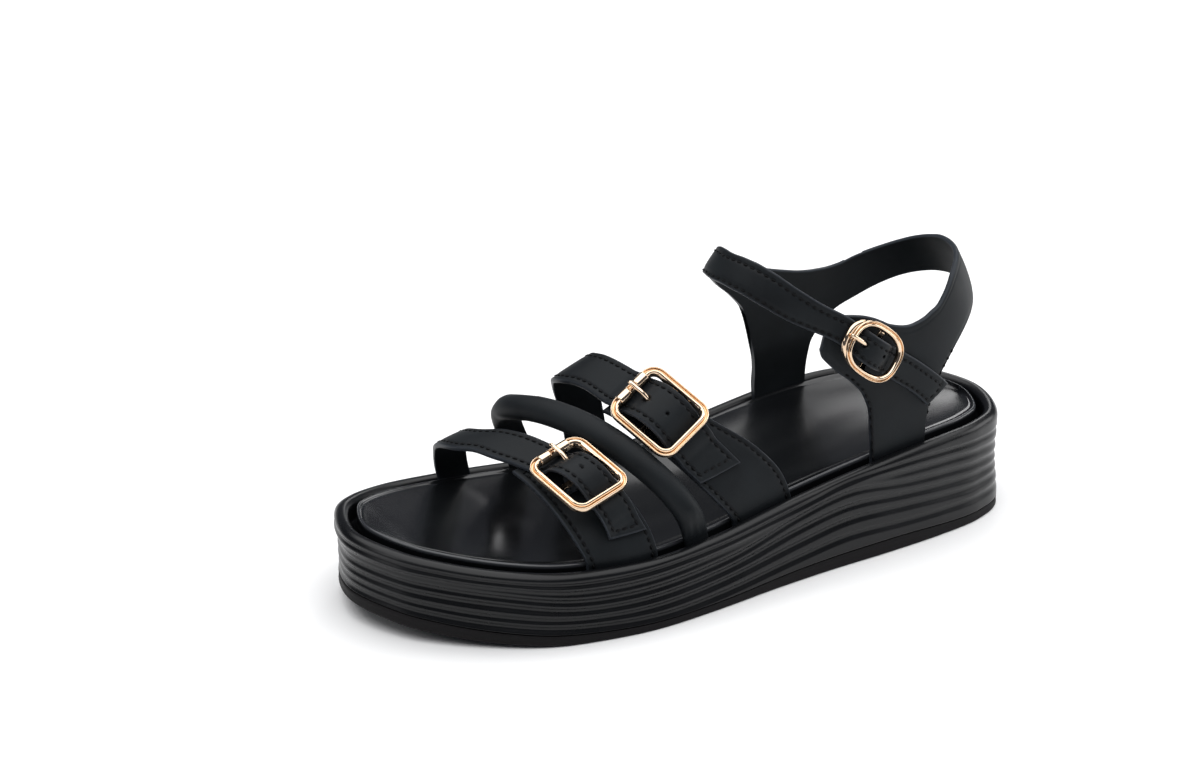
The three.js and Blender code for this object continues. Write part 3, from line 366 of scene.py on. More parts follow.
# %% Curves through tables
def through(at, knots, values, steady=False):
    """Cubic curve through the knots. A knot's slope is the mean of its two neighbours' slopes, each weighted
    by the other's span; with steady it is their harmonic mean, which never swings past a knot."""
    knots, values = np.asarray(knots, float), np.asarray(values, float)
    at = np.clip(at, knots[0], knots[-1])
    i = np.clip(np.searchsorted(knots, at, side="right") - 1, 0, len(knots) - 2)
    span = np.diff(knots)
    rise = np.diff(values) / span
    slope = np.concatenate([rise[:1], np.zeros(len(knots) - 2), rise[-1:]])
    if steady:
        product, total = rise[:-1] * rise[1:], rise[:-1] + rise[1:]
        slope[1:-1] = np.where(product > 0, 2 * product / np.where(product > 0, total, 1), 0)
    else:
        slope[1:-1] = (rise[:-1] * span[1:] + rise[1:] * span[:-1]) / (span[:-1] + span[1:])
    u = (at - knots[i]) / span[i]
    return (
        values[i] * (1 + 2 * u) * (1 - u) ** 2 + span[i] * slope[i] * u * (1 - u) ** 2
        + values[i + 1] * u * u * (3 - 2 * u) + span[i] * slope[i + 1] * u * u * (u - 1)
    )


def ease(k):
    """Soft step from 0 to 1: 3k^2 - 2k^3."""
    k = np.clip(k, 0, 1)
    return k * k * (3 - 2 * k)


def lerp(a, b, k):
    """Straight mix: a at k = 0, b at k = 1."""
    return a + (b - a) * k


def unit(vectors):
    """Each vector over its own length."""
    return vectors / np.linalg.norm(vectors, axis=-1, keepdims=True)


# %% [markdown]
# ## The platform's outline
# Everything hangs on the outline of the platform: one closed curve through a few widths, 15 along the shoe.
# A centripetal Catmull-Rom curve goes through all of them without loops. Moving its points along their
# normals gives every inner line: the rim, the groove and the insole.

# %% Outline and heights
LENGTH = 262.0
SOLE = np.array([               # distance from the heel, outer side, inner side
    (0, 4, 4), (8, 27, -19.5), (21, 35, -31), (39, 39, -38), (65, 42, -40), (92, 44, -38.5), (118, 47, -36),
    (144, 51, -39), (170, 53.5, -46), (189, 52, -50), (210, 47.5, -51), (228, 38, -49), (244, 25.5, -42.5),
    (254, 14, -33.5), (262, -9, -9),
])
CREST = np.array([              # distance from the heel, height of the rim
    (0, 39.5), (52, 38.5), (105, 33), (144, 28.5), (183, 27), (223, 29), (262, 34),
])
PER_SPAN = 22                   # points between two stations of the outline
TOE_SPRING, SPRING_START = 7.0, 188.0
HEEL_FLARE, TOE_TUCK_IN = 1.2, 1.0


def outline():
    """Closed curve through the stations. Its tangent at a station is the centripetal one: slopes over the
    square roots of the chords. Between stations it is the cubic with those two tangents."""
    stations = np.vstack([
        SOLE[:-1, [0, 1]], [[LENGTH, SOLE[-1, 1]]], SOLE[1:-1, [0, 2]][::-1],
    ])
    before, here, after, beyond = (np.roll(stations, k, axis=0) for k in (1, 0, -1, -2))
    d0, d1, d2 = (
        np.linalg.norm(b - a, axis=1, keepdims=True) ** 0.5
        for a, b in ((before, here), (here, after), (after, beyond))
    )
    leave = ((here - before) / d0 - (after - before) / (d0 + d1) + (after - here) / d1) * d1
    arrive = ((after - here) / d1 - (beyond - here) / (d1 + d2) + (beyond - after) / d2) * d1
    u = (np.arange(PER_SPAN) / PER_SPAN)[:, None]
    spans = (
        here[:, None] * (2 * u**3 - 3 * u**2 + 1) + leave[:, None] * (u**3 - 2 * u**2 + u)
        + after[:, None] * (3 * u**2 - 2 * u**3) + arrive[:, None] * (u**3 - u**2)
    )
    return spans.reshape(-1, 2)


OUTLINE = outline()
OUTLINE_ALONG = unit(np.roll(OUTLINE, -1, axis=0) - np.roll(OUTLINE, 1, axis=0))
OUTLINE_OUT = np.stack([-OUTLINE_ALONG[:, 1], OUTLINE_ALONG[:, 0]], axis=1)
RING = len(OUTLINE)
OUTLINE_X = np.clip(OUTLINE[:, 0], 0, LENGTH)


def crest(x):
    """Height of the rim's top."""
    return through(x, CREST[:, 0], CREST[:, 1])


def underside(x):
    """Flat, then a parabola up to the toe."""
    return TOE_SPRING * np.clip((x - SPRING_START) / (LENGTH - SPRING_START), 0, None) ** 2


def flare(x):
    """How far the wall's foot stands out: straight from the heel's flare to the toe's tuck-in."""
    return lerp(HEEL_FLARE, -TOE_TUCK_IN, np.clip(x / LENGTH, 0, 1))


def ring_at(inset, height):
    """The outline moved in by inset, at a height: both are numbers or one value for each outline point."""
    plan = OUTLINE - OUTLINE_OUT * np.broadcast_to(inset, RING)[:, None]
    return np.column_stack([plan, np.broadcast_to(height, RING)])


def rungs(low, high, steps):
    """Ladder of straight rungs over a ring, from each outer point to its inner partner, steps apart."""
    half = RING // 2
    outer, inner = np.arange(1, half), RING - np.arange(1, half)
    return lerp(low[outer][:, None], high[inner][:, None], steps[None, :, None]), outer, inner


def wall_faces(count):
    """Faces between count rings, turned so that they face out of the shoe."""
    return grid_quads(count, RING, wrap=True)[:, ::-1]


def cap_faces(first, start, inner_count):
    """Faces of a ladder cap: first is the ring's first index, start that of the rungs' inner points."""
    half = RING // 2
    outer, inner = first + np.arange(1, half), first + RING - np.arange(1, half)
    middle = start + np.arange((half - 1) * inner_count).reshape(half - 1, inner_count)
    ladder = np.column_stack([outer, middle, inner])
    quads = np.stack([ladder[:-1, :-1], ladder[:-1, 1:], ladder[1:, 1:], ladder[1:, :-1]], axis=-1)
    heel = np.column_stack([np.full(inner_count + 1, first), ladder[0, 1:], ladder[0, :-1]])
    toe = np.column_stack([np.full(inner_count + 1, first + half), ladder[-1, :-1], ladder[-1, 1:]])
    return quads.reshape(-1, 4), heel, toe


print(f"outline of {RING} points, {OUTLINE[:, 1].min():.1f} to {OUTLINE[:, 1].max():.1f} mm wide")

# %% [markdown]
# ## The rippled wall
# The platform's wall is moulded with soft ribs that run with the rim like contour lines: five or six
# creases, closer under the ball and wider at the heel, and two places where a crease starts between its
# neighbours. Each crease is a line of heights along the shoe. The wall's surface is a smooth profile, pushed
# in near each crease by a soft step, which leaves round ribs and round valleys. A row of points runs along
# every crease, so that no rib comes out ragged.

# %% Creases of the wall
CREASES = np.array([
    # x, joint, f, e, d, c, fork, roll: heights; then the fork's share of the depth, and the depth
    (0, 3.6, 8.9, 13.8, 17.5, 21.2, 25.6, 31.0, 1.0, 0.75),
    (30, 3.8, 9.6, 14.6, 19.1, 23.8, 28.7, 33.0, 1.0, 0.75),
    (58, 5.2, 10.6, 16.6, 21.3, 26.0, 30.3, 34.2, 0.9, 0.8),
    (84, 5.1, 11.5, 17.7, 23.2, 28.9, 31.4, 33.3, 0.0, 0.9),
    (107, 4.5, 9.3, 14.9, 20.3, 25.5, 27.4, 29.6, 0.0, 0.95),
    (130, 3.4, 6.9, 11.8, 15.9, 20.1, 23.7, 26.5, 0.6, 1.0),
    (165, 2.8, 5.1, 9.1, 12.9, 16.6, 20.6, 24.2, 1.0, 1.05),
    (195, 3.5, 5.9, 9.1, 12.6, 16.0, 19.8, 23.4, 1.0, 1.05),
    (227, 6.2, 8.8, 12.1, 16.4, 20.1, 23.1, 25.9, 1.0, 1.0),
    (262, 11.5, 13.6, 16.8, 20.4, 24.2, 26.9, 30.6, 1.0, 0.9),
])
CREASE_LINES = CREASES[:, 2:8]
FORK, ROLL = 4, 5               # among those lines, the one that starts twice and the one under the rim
ROLL_REACH, ROLL_DEPTH = 0.75, 0.85     # that last one is narrower and shallower, by these shares
ROWS_PER_RIB = 14               # a row of points runs along every crease, and these lie evenly between two
RIB_HALF = 2.2                  # how far a crease's shoulders reach
SOFTENED = 0.85                 # the finished valleys are round, so they are this much shallower
RIM_WIDTH, WELL_DEPTH, GAP = 5.4, 8.0, 0.3
RIM_OUTER, RIM_INNER = 2.9, 2.7         # radii of the rim's two rounds, on the wall's side and the well's


def crease_depth(x, z):
    """Sum over the creases of depth times a soft step of 1 - |z - crease| / reach: round valleys."""
    lines = [through(x, CREASES[:, 0], CREASE_LINES[:, k]) for k in range(CREASE_LINES.shape[1])]
    share = through(x, CREASES[:, 0], CREASES[:, 8], steady=True)
    depth = through(x, CREASES[:, 0], CREASES[:, 9])
    total = np.zeros(np.broadcast(x, z).shape)
    for k, line in enumerate(lines):
        reach = RIB_HALF * (ROLL_REACH if k == ROLL else 1)
        pull = ease(1 - np.abs(z - line) / reach)
        total = total + pull * depth * (share if k == FORK else 1) * (ROLL_DEPTH if k == ROLL else 1)
    return total * SOFTENED


def joint(x):
    """Height of the line between the platform and its tread."""
    return through(x, CREASES[:, 0], CREASES[:, 1])


# %% Platform
def wall_inset(x, z):
    """How far the wall stands in from the outline: the foot's flare, then straight, and a slight swell."""
    foot = joint(x) + GAP
    waist = lerp(foot, crest(x), 0.5)
    shoulder = crest(x) - 6.5
    low = lerp(-flare(x), 0.5 - 0.4 * flare(x), ease((z - foot) / (waist - foot)))
    high = lerp(0.5 - 0.4 * flare(x), -0.2, ease((z - waist) / (shoulder + 2 - waist)))
    return np.where(z < waist, low, high)


def platform():
    """Rings from the joint up the wall, over the round rim, and down into the groove; the rim is two quarter
    circles, so its inset and height are sine and cosine of one angle."""
    x = OUTLINE_X
    foot, top = joint(x) + GAP, crest(x)
    rings = [ring_at(wall_inset(x, foot) + 0.5, foot)]
    creases = [np.minimum(through(x, CREASES[:, 0], line), top - 3.8) for line in CREASE_LINES.T]
    lines = np.array([foot + 0.25, *creases, top - RIM_OUTER])
    for at in np.linspace(0, len(lines) - 1, ROWS_PER_RIB * (len(lines) - 1) + 1):
        k = min(int(at), len(lines) - 2)
        z = lerp(lines[k], lines[k + 1], at - k)
        rings.append(ring_at(wall_inset(x, z) + crease_depth(x, z), z))
    for angle in np.linspace(0.06, 1, 16) * math.pi / 2:
        z = top - RIM_OUTER * (1 - math.sin(angle))
        rings.append(ring_at(-0.2 + RIM_OUTER * (1 - math.cos(angle)) + crease_depth(x, z), z))
    for angle in np.linspace(0.08, 1, 12) * math.pi / 2:
        z = top - RIM_INNER * (1 - math.cos(angle))
        rings.append(ring_at(RIM_INNER + RIM_INNER * math.sin(angle), z))
    for k in np.linspace(0, 1, 5)[1:]:
        rings.append(ring_at(RIM_WIDTH, lerp(top - RIM_INNER, top - WELL_DEPTH, k)))
    points = np.array(rings)
    count = len(rings)
    faces = [wall_faces(count)]
    faces += [part[:, ::-1] for part in cap_faces(0, 0, 0)]
    faces += list(cap_faces((count - 1) * RING, 0, 0))
    return add_piece(
        "platform", points.reshape(-1, 3), faces, FOAM_BLACK, replaces=["midsole"]
    )


platform()


# %% Tread
TREAD_PITCH = 7.5               # from one groove to the next
TREAD_DEPTH = 1.1
TREAD_MARGIN = 4                # the grooves fade out from here to 3 mm further in
TURNED_EDGE = 0.9               # radius of the rounded lower edge, and of the insole's turned edge


def tread_groove(x, y):
    """Depth of the tread: wavy bars, with a groove where sin(2 pi (x + wave) / pitch) is near 1."""
    wave = x + 2.2 * np.sin(y / 6.5)
    bar = ease((np.sin(2 * math.pi * wave / TREAD_PITCH) - 0.45) / 0.3)
    return TREAD_DEPTH * bar


def tread():
    """A shallow tray: over the underside with its grooves, round the lower edge and up the wall."""
    x = OUTLINE_X
    low, high = underside(x), joint(x)
    quarter = np.linspace(0, 1, 6) * math.pi / 2
    bevel = [(TURNED_EDGE * (1 - math.sin(a)), TURNED_EDGE * (1 - math.cos(a))) for a in quarter]
    rings = [ring_at(TURNED_EDGE - flare(x), low)]
    rings += [ring_at(inset - flare(x), low + rise) for inset, rise in bevel[1:]]
    rings += [
        ring_at(-flare(x) + 0.12 * math.sin(k * math.pi), lerp(low + TURNED_EDGE, high, k))
        for k in (0.3, 0.6, 0.9)
    ]
    rings += [ring_at(0.35 - flare(x), high)]
    points = np.array(rings)
    count = len(rings)
    steps = np.linspace(0, 1, 74)[1:-1]
    bottom, outer, inner = rungs(points[0], points[0], steps)
    away = np.minimum(steps, 1 - steps) * np.linalg.norm(points[0][outer] - points[0][inner], axis=1)[:, None]
    between_ends = ease((bottom[..., 0] - 4) / 6) * ease((256 - bottom[..., 0]) / 6)
    inside = ease((away - TREAD_MARGIN) / 3) * between_ends
    bottom[..., 2] = underside(bottom[..., 0]) + inside * tread_groove(bottom[..., 0], bottom[..., 1])
    faces = [wall_faces(count)]
    faces += [part[:, ::-1] for part in cap_faces(0, points.size // 3, len(steps))]
    faces += list(cap_faces((count - 1) * RING, 0, 0))
    every = np.vstack([points.reshape(-1, 3), bottom.reshape(-1, 3)])
    return add_piece("tread", every, faces, RUBBER_BLACK, replaces=["outsole"])


tread()

# %% [markdown]
# ## The insole
# The insole is a foam footbed with a glazed cover, dished at the heel and the ball, with a low pad under the
# arch. Its edge is turned over, and a thin line on it beside the groove is painted lighter as a painted
# highlight. Real covers are never quite flat, so a few soft troughs are listed where the foot bends it.

# %% Insole
STRAP_INSET = RIM_WIDTH + GAP + 2.0
INSOLE_INSET = STRAP_INSET + GAP + 0.1
INSOLE_PROUD = 0.5
INSOLE_DISH = np.array([        # distance from the heel, depth of the bowl, height of the arch pad
    (0, 1.5, 0), (45, 3.2, 0), (110, 1.6, 2.2), (185, 2.6, 0), (222, 0.8, 0), (262, 0.5, 0),
])
TROUGHS = np.array([
    # x, y, direction in degrees, half length, half width, depth (a ridge where negative)
    (206, 4, 68, 22, 5.0, 0.45),
    (214, 10, 60, 16, 3.5, -0.35),
    (196, -20, 100, 18, 5.0, 0.35),
    (92, 8, 20, 26, 6.0, 0.3),
    (30, -4, 75, 18, 7.0, 0.25),
])


def troughs(x, y, table):
    """Sum of long soft dents: depth * exp(-(along / length)^2 - (across / width)^2), in each one's axes."""
    total = np.zeros(np.broadcast(x, y).shape)
    for cx, cy, degrees, length, width, depth in table:
        c, s = math.cos(math.radians(degrees)), math.sin(math.radians(degrees))
        along, across = (x - cx) * c + (y - cy) * s, (y - cy) * c - (x - cx) * s
        total = total + depth * np.exp(-((along / length) ** 2) - (across / width) ** 2)
    return total


def insole():
    """Rings up the edge and round its turned corner, then rungs across with the dish."""
    x = OUTLINE_X
    top = crest(x) + INSOLE_PROUD
    corner = [
        (INSOLE_INSET + TURNED_EDGE * (1 - math.cos(a)), TURNED_EDGE * (math.sin(a) - 1))
        for a in np.linspace(0, 1, 7) * math.pi / 2
    ]
    rings = [ring_at(INSOLE_INSET, top - TURNED_EDGE - k) for k in (6.5, 4.0, 2.0, 0.6)]
    rings += [ring_at(inset, top + rise) for inset, rise in corner]
    points = np.array(rings)
    count = len(rings)
    steps = (1 - np.cos(np.linspace(0, math.pi, 92)[1:-1])) / 2
    cover, outer, inner = rungs(points[-1], points[-1], steps)
    cx, cy = cover[..., 0], cover[..., 1]
    bowl = 1 - np.abs(2 * steps - 1) ** 2.4
    pad = np.exp(-(((steps - 0.85) / 0.16) ** 2))
    depth, lift = (through(cx, INSOLE_DISH[:, 0], INSOLE_DISH[:, k]) for k in (1, 2))
    across = np.linalg.norm(points[-1][outer] - points[-1][inner], axis=1)[:, None]
    away = np.minimum(steps, 1 - steps) * across
    seam = 0.3 * np.exp(-(((away - 1.8) / 0.8) ** 2))
    cover[..., 2] -= depth * bowl - lift * pad + seam + troughs(cx, cy, TROUGHS) * ease(away / 8)
    faces = [wall_faces(count)]
    faces += [part[:, ::-1] for part in cap_faces(0, 0, 0)]
    faces += list(cap_faces((count - 1) * RING, points.size // 3, len(steps)))
    every = np.vstack([points.reshape(-1, 3), cover.reshape(-1, 3)])
    # painted highlight: the rings round the turned edge get the light grey edge line in the insole's colour
    rim = np.zeros(len(every))
    rim[4 * RING : count * RING] = 0.8
    piece = add_piece(
        "insole_cover", every, faces, INSOLE_BLACK, marks={"rim": rim}, replaces=["insole"]
    )
    return piece


insole()

# %% [markdown]
# ## Two last surfaces
# Shoes are built round a last, a solid foot. Two parts of it are enough here: an arch over the forefoot,
# which is one cubic Bezier curve on each side of the crown at every x, and an oval round the ankle. A strap
# is then nothing but a patch of one of them, lifted off along its normal by the thickness of the leather.

# %% Last surfaces
TUCK, STRAIGHT = 7.0, 1.0       # how far a strap goes below the rim, and how far above it stays upright
CROWN = np.array([              # distance from the heel, y and height of the top of the foot
    (90, -5, 102), (120, -7, 91), (140, -8, 82.5), (155, -9, 76), (170, -9, 68.5), (185, -8.5, 61),
    (200, -8, 55), (215, -7, 50.5), (230, -6, 47),
])
ARCH_OUTER, ARCH_INNER = (0.5, 0.3), (0.56, 0.42)       # reach of the curve's handles: shoulder, side
ANKLE_X, ANKLE_Y, ANKLE_BLEND = 50.0, 1.5, 22.0
ANKLE = np.array([              # height, then the oval's reach to the front, back, outer and inner side
    (30, 92, 36, 31, 31), (45, 92, 38.5, 31.5, 31), (60, 90, 39.5, 32, 31), (72, 86, 39.5, 32, 31),
    (82, 81, 38.5, 32, 31), (92, 75, 35, 31.5, 30.5), (100, 70, 31, 31, 30), (108, 64, 27, 30, 29),
    (118, 56, 23, 29, 28),
])
GROOVE_LINE = ring_at(STRAP_INSET, 0)


def groove_y(x, outer):
    """y of the groove's inner side, read off the inset outline."""
    half = RING // 2
    far_side, near_side = GROOVE_LINE[5 : half - 5], GROOVE_LINE[half + 5 : -5][::-1]
    return np.where(
        outer, np.interp(x, far_side[:, 0], far_side[:, 1]), np.interp(x, near_side[:, 0], near_side[:, 1])
    )


def bezier(a, b, c, d, t):
    """Cubic Bezier curve: the four points weighted by (1-t)^3, 3(1-t)^2 t, 3(1-t) t^2 and t^3."""
    return (1 - t) ** 3 * a + 3 * (1 - t) ** 2 * t * b + 3 * (1 - t) * t * t * c + t**3 * d


def vamp_last(x, t):
    """The arch: t is 0 on the crown, -1 and 1 where it meets the outer and inner groove, further is below."""
    x, t = np.broadcast_arrays(np.asarray(x, float), np.asarray(t, float))
    shoulder, side = (np.where(t < 0, o, i) for o, i in zip(ARCH_OUTER, ARCH_INNER))
    crown_y, crown_z = through(x, CROWN[:, 0], CROWN[:, 1]), through(x, CROWN[:, 0], CROWN[:, 2])
    foot_y, foot_z = groove_y(x, t < 0), crest(x) + STRAIGHT
    a = np.minimum(np.abs(t), 1)
    below = np.maximum(np.abs(t) - 1, 0) / 0.2 * (TUCK + STRAIGHT)
    y = bezier(crown_y, lerp(crown_y, foot_y, shoulder), foot_y, foot_y, a)
    z = bezier(crown_z, crown_z, lerp(foot_z, crown_z, side), foot_z, a) - below
    return np.stack([x, y, z], axis=-1)


def ankle_last(angle, z):
    """The oval: 0 degrees in front, 90 outside, 180 behind. Low down, it swings over to the groove."""
    angle, z = np.broadcast_arrays(np.asarray(angle, float), np.asarray(z, float))
    c, s = np.cos(np.radians(angle)), np.sin(np.radians(angle))
    front, back, outer, inner = (through(z, ANKLE[:, 0], ANKLE[:, k]) for k in (1, 2, 3, 4))
    x = ANKLE_X + c * np.where(c > 0, front, back)
    oval_y = ANKLE_Y + s * np.where(s > 0, outer, inner)
    k = ease((z - crest(x) - STRAIGHT) / ANKLE_BLEND)
    y = np.where(np.abs(s) > 0.45, lerp(groove_y(x, s > 0), oval_y, k), oval_y)
    return np.stack([x, y, z], axis=-1)


def with_normal(last, a, b, step_a, step_b, turn):
    """Points of a last surface with their unit normals, from the cross product of two central differences."""
    along = last(a + step_a, b) - last(a - step_a, b)
    across = last(a, b + step_b) - last(a, b - step_b)
    return last(a, b), unit(np.cross(along, across)) * turn


def on_vamp(x, t):
    return with_normal(vamp_last, x, t, 0.5, 0.01, -1)


def on_ankle(angle, z):
    return with_normal(ankle_last, angle, z, 0.5, 0.3, 1)


# %% [markdown]
# ## Seats of the buckles
# Each buckle has its own small set of axes: s runs along the strap towards its tip, w across it, and n off
# the foot. A slight turn about each lets the buckle lie as a real one does, not quite square to the strap.

# %% Seats
TOE_BAND = np.array([           # place on the arch, heelward and toeward edge
    (-0.83, 172, 186), (-0.6, 176.3, 190.4), (-0.4, 182.6, 197), (-0.23, 189, 203.6), (-0.12, 192.7, 208),
    (0, 197, 211), (0.12, 201, 214.4), (0.35, 202, 215), (0.65, 198, 211), (1.2, 192, 205),
])
TOE_BASE = np.array([
    (-1.2, 167.5, 194.5), (-1.0, 168.2, 195.1), (-0.79, 170.5, 197.4), (-0.61, 174.4, 199.4),
    (-0.46, 180, 201.4), (-0.24, 188, 205),
])
INSTEP_BAND = np.array([
    (-0.73, 129.4, 147.4), (-0.55, 138.2, 155.6), (-0.39, 144.9, 161.5), (-0.24, 149.8, 165.6),
    (-0.07, 154, 168.5), (0.07, 155.8, 170.9), (0.18, 155.3, 171), (0.4, 152, 167.5), (0.7, 146, 161.5),
    (1.2, 139, 155),
])
INSTEP_BASE = np.array([
    (-1.2, 107.5, 134), (-1.0, 108.3, 135.1), (-0.84, 112.7, 141.5), (-0.72, 119.4, 147.3),
    (-0.51, 134.7, 157), (-0.22, 149, 168),
])
TOE_BUCKLE = dict(
    x=188, t=-0.468, lift=8.7, length=29.8, width=25.4, corner=5.6, wire=1.7, turns=(-12, -7, -10)
)
INSTEP_BUCKLE = dict(
    x=153.2, t=-0.401, lift=8.4, length=29.6, width=26.4, corner=5.8, wire=1.7, turns=(1, -1, 0)
)
ANKLE_BUCKLE = dict(
    angle=73.2, z=81.5, lift=7.8, length=27.0, width=20.2, wire=1.3, squareness=2.7, turns=(-9, 3, -6)
)
ANKLE_BAR = 1.2                 # the ankle buckle's centre bar sits this far towards the strap's tip
BAR_RADIUS, BAR_DROP = 1.2, 2.0
TOE_HUMP = np.array([           # along the buckle, height of the strap's top over the frame's plane
    (-19, -8), (-16, -5.8), (-13.2, -4.3), (-10.6, -2.4), (-7.6, 1.6), (-4.4, 4.1), (-1, 5), (2.4, 4.7),
    (5.6, 3.3), (8.6, 0.7), (11.2, -2), (13.4, -3.2), (16, -4.8), (19, -8),
])
INSTEP_HUMP = np.array([
    (-19, -8), (-16, -5), (-13.2, -3.3), (-10.6, -1.6), (-7.6, 1), (-4.4, 3), (-1, 3.7), (2.4, 3.5),
    (5.6, 2.5), (8.6, 0.4), (11.2, -1.9), (13.4, -2.9), (16, -4.7), (19, -8),
])
ANKLE_HUMP = np.array([
    (-18, -9), (-14.6, -5.2), (-11.8, -3.3), (-9.4, -3), (-6.8, -0.6), (-4.2, 1.8), (-1.2, 2.7), (1.8, 2.7),
    (4.8, 1.9), (7.4, 0), (9.8, -2), (12, -3), (14.6, -5), (18, -9),
])


def turned(degrees):
    """Turns about x, then y, then z of the turned axes: Rx @ Ry @ Rz."""
    matrix = np.eye(3)
    for axis, angle in zip("XYZ", degrees):
        matrix = matrix @ np.array(Matrix.Rotation(math.radians(angle), 3, axis))
    return matrix


def seat(point, normal, to_tip, lift, turns):
    """Axes at a point of the last: n is the normal, s the way to the tip made square to it, w = n x s."""
    s = unit(to_tip - normal * (to_tip @ normal))
    basis = np.column_stack([s, np.cross(normal, s), normal]) @ turned(turns)
    return dict(origin=point + normal * lift, s=basis[:, 0], w=basis[:, 1], n=basis[:, 2])


def vamp_seat(buckle, band):
    """The strap's way to its tip is the chord of its middle line, 4 mm up, a little to either side."""
    ends = []
    for t in (buckle["t"] - 0.05, buckle["t"] + 0.05):
        middle = (through(t, band[:, 0], band[:, 1]) + through(t, band[:, 0], band[:, 2])) / 2
        point, normal = on_vamp(middle, t)
        ends.append(point + normal * 4)
    point, normal = on_vamp(buckle["x"], buckle["t"])
    return seat(point, normal, ends[0] - ends[1], buckle["lift"], buckle["turns"])


def ankle_seat(buckle):
    ends = [point + normal * 4 for point, normal in (on_ankle(86, 70), on_ankle(64, 88))]
    point, normal = on_ankle(buckle["angle"], buckle["z"])
    return seat(point, normal, ends[0] - ends[1], buckle["lift"], buckle["turns"])


TOE_SEAT = vamp_seat(TOE_BUCKLE, TOE_BAND)
INSTEP_SEAT = vamp_seat(INSTEP_BUCKLE, INSTEP_BAND)
ANKLE_SEAT = ankle_seat(ANKLE_BUCKLE)


def in_seat(place, s, w, n):
    """Points from coordinates along a seat's axes: origin + s S + w W + n N."""
    s, w, n = (np.asarray(k, float)[..., None] for k in np.broadcast_arrays(s, w, n))
    return place["origin"] + s * place["s"] + w * place["w"] + n * place["n"]


def from_seat(place, points):
    """Coordinates of points along a seat's axes."""
    arm = points - place["origin"]
    return arm @ place["s"], arm @ place["w"], arm @ place["n"]


print("buckle seats", *(np.round(p["origin"], 1).tolist() for p in (TOE_SEAT, INSTEP_SEAT, ANKLE_SEAT)))

# %% [markdown]
# ## Straps with turned edges, stitches and holes
# A strap is two layers of leather bonded back to back, cut, inked along the cut, and sewn along both edges.
# What the eye reads is at the edge: the rounded corner, the row of stitches 2.3 mm in, and the small dip that
# each stitch pulls. So the grid of points is dense near the edges and even elsewhere, the corner is a
# quarter circle in the distance to the nearest edge, and every stitch presses its own soft dent.

# %% Grids for sheets
LEATHER = 2.0
ROUND_TOP, ROUND_BELOW = 0.8, 0.5
STITCH_INSET, STITCH_PITCH, STITCH_LENGTH = 2.3, 3.0, 2.0
EDGE_STEPS = np.array([0, 0.06, 0.18, 0.38, 0.6, 0.85, 1.3, 1.75, 2.0, 2.2, 2.4, 2.6, 2.85, 3.3])


def rounded_corner(distance, radius):
    """Drop of a quarter-round corner: r - sqrt(r^2 - (r - d)^2) within r of the edge, 0 beyond."""
    short = np.clip(radius - distance, 0, radius)
    return radius - np.sqrt(radius**2 - short**2)


def run_lengths(points, axis):
    """Distance covered along an axis of a grid of points, from its start."""
    steps = np.linalg.norm(np.diff(points, axis=axis), axis=-1)
    start = np.zeros_like(np.take(steps, [0], axis=axis))
    return np.concatenate([start, np.cumsum(steps, axis=axis)], axis=axis)


def across_steps(widths, inner_count, middle=(0,)):
    """For each column, v of its points: close together near both edges and at the middle, even between."""
    share = np.minimum(1, widths / 11)[:, None] / widths[:, None]
    edge = EDGE_STEPS[None, :] * share
    core = 0.5 + np.asarray(middle, float)[None, :] * share
    between = lerp(edge[:, -1:], core[:, :1], np.linspace(0, 1, inner_count // 2 + 2)[1:-1][None, :])
    return np.concatenate([edge, between, core, 1 - between[:, ::-1], 1 - edge[:, ::-1]], axis=1)


def soft_noise(points, size, seed):
    """Sum of 7 sine waves of about one size in seeded directions: an even undulation from -1 to 1."""
    draw = np.random.default_rng(seed)
    ways = unit(draw.normal(size=(7, 3))) * (2 * math.pi / size) * draw.uniform(0.7, 1.4, (7, 1))
    return np.sin(points @ ways.T + draw.uniform(0, 2 * math.pi, 7)).sum(axis=-1) / 3.5


# %% Stitches
def stitch_template():
    """One stitch lying along x: an oval section that sinks and thins towards both ends."""
    along = np.array([-1, -0.82, -0.45, 0, 0.45, 0.82, 1]) * STITCH_LENGTH / 2
    size = np.array([0.3, 0.75, 1, 1, 1, 0.75, 0.3]) * 0.28
    height = np.array([-0.5, -0.16, 0.06, 0.1, 0.06, -0.16, -0.5])
    turn = (np.arange(7) + 0.5) / 7 * 2 * math.pi
    rings = np.stack([
        np.broadcast_to(along[:, None], (7, 7)),
        size[:, None] * np.cos(turn)[None, :] * 1.15,
        height[:, None] + size[:, None] * np.sin(turn)[None, :],
    ], axis=-1)
    ends = np.array([[along[0], 0, height[0]], [along[-1], 0, height[-1]]])
    points = np.vstack([rings.reshape(-1, 3), ends])
    sides = grid_quads(7, 7, wrap=True)
    k = np.arange(7)
    first = np.column_stack([np.full(7, 49), (k + 1) % 7, k])
    last = np.column_stack([np.full(7, 50), 42 + k, 42 + (k + 1) % 7])
    return points, sides, np.vstack([first, last])


def stitch_places(points, normals):
    """Stitches at even steps along a line on the leather: centres, and axes along, across and off it."""
    run = run_lengths(points, 0)
    count = max(int(round(run[-1] / STITCH_PITCH)), 2)
    at = (np.arange(count) + 0.5) * run[-1] / count
    centre = np.stack([np.interp(at, run, points[:, k]) for k in range(3)], axis=1)
    ahead = np.stack([np.interp(at + 0.4, run, points[:, k]) for k in range(3)], axis=1)
    behind = np.stack([np.interp(at - 0.4, run, points[:, k]) for k in range(3)], axis=1)
    off = unit(np.stack([np.interp(at, run, normals[:, k]) for k in range(3)], axis=1))
    along = ahead - behind
    along = unit(along - off * np.sum(along * off, axis=1, keepdims=True))
    return centre, along, np.cross(off, along), off


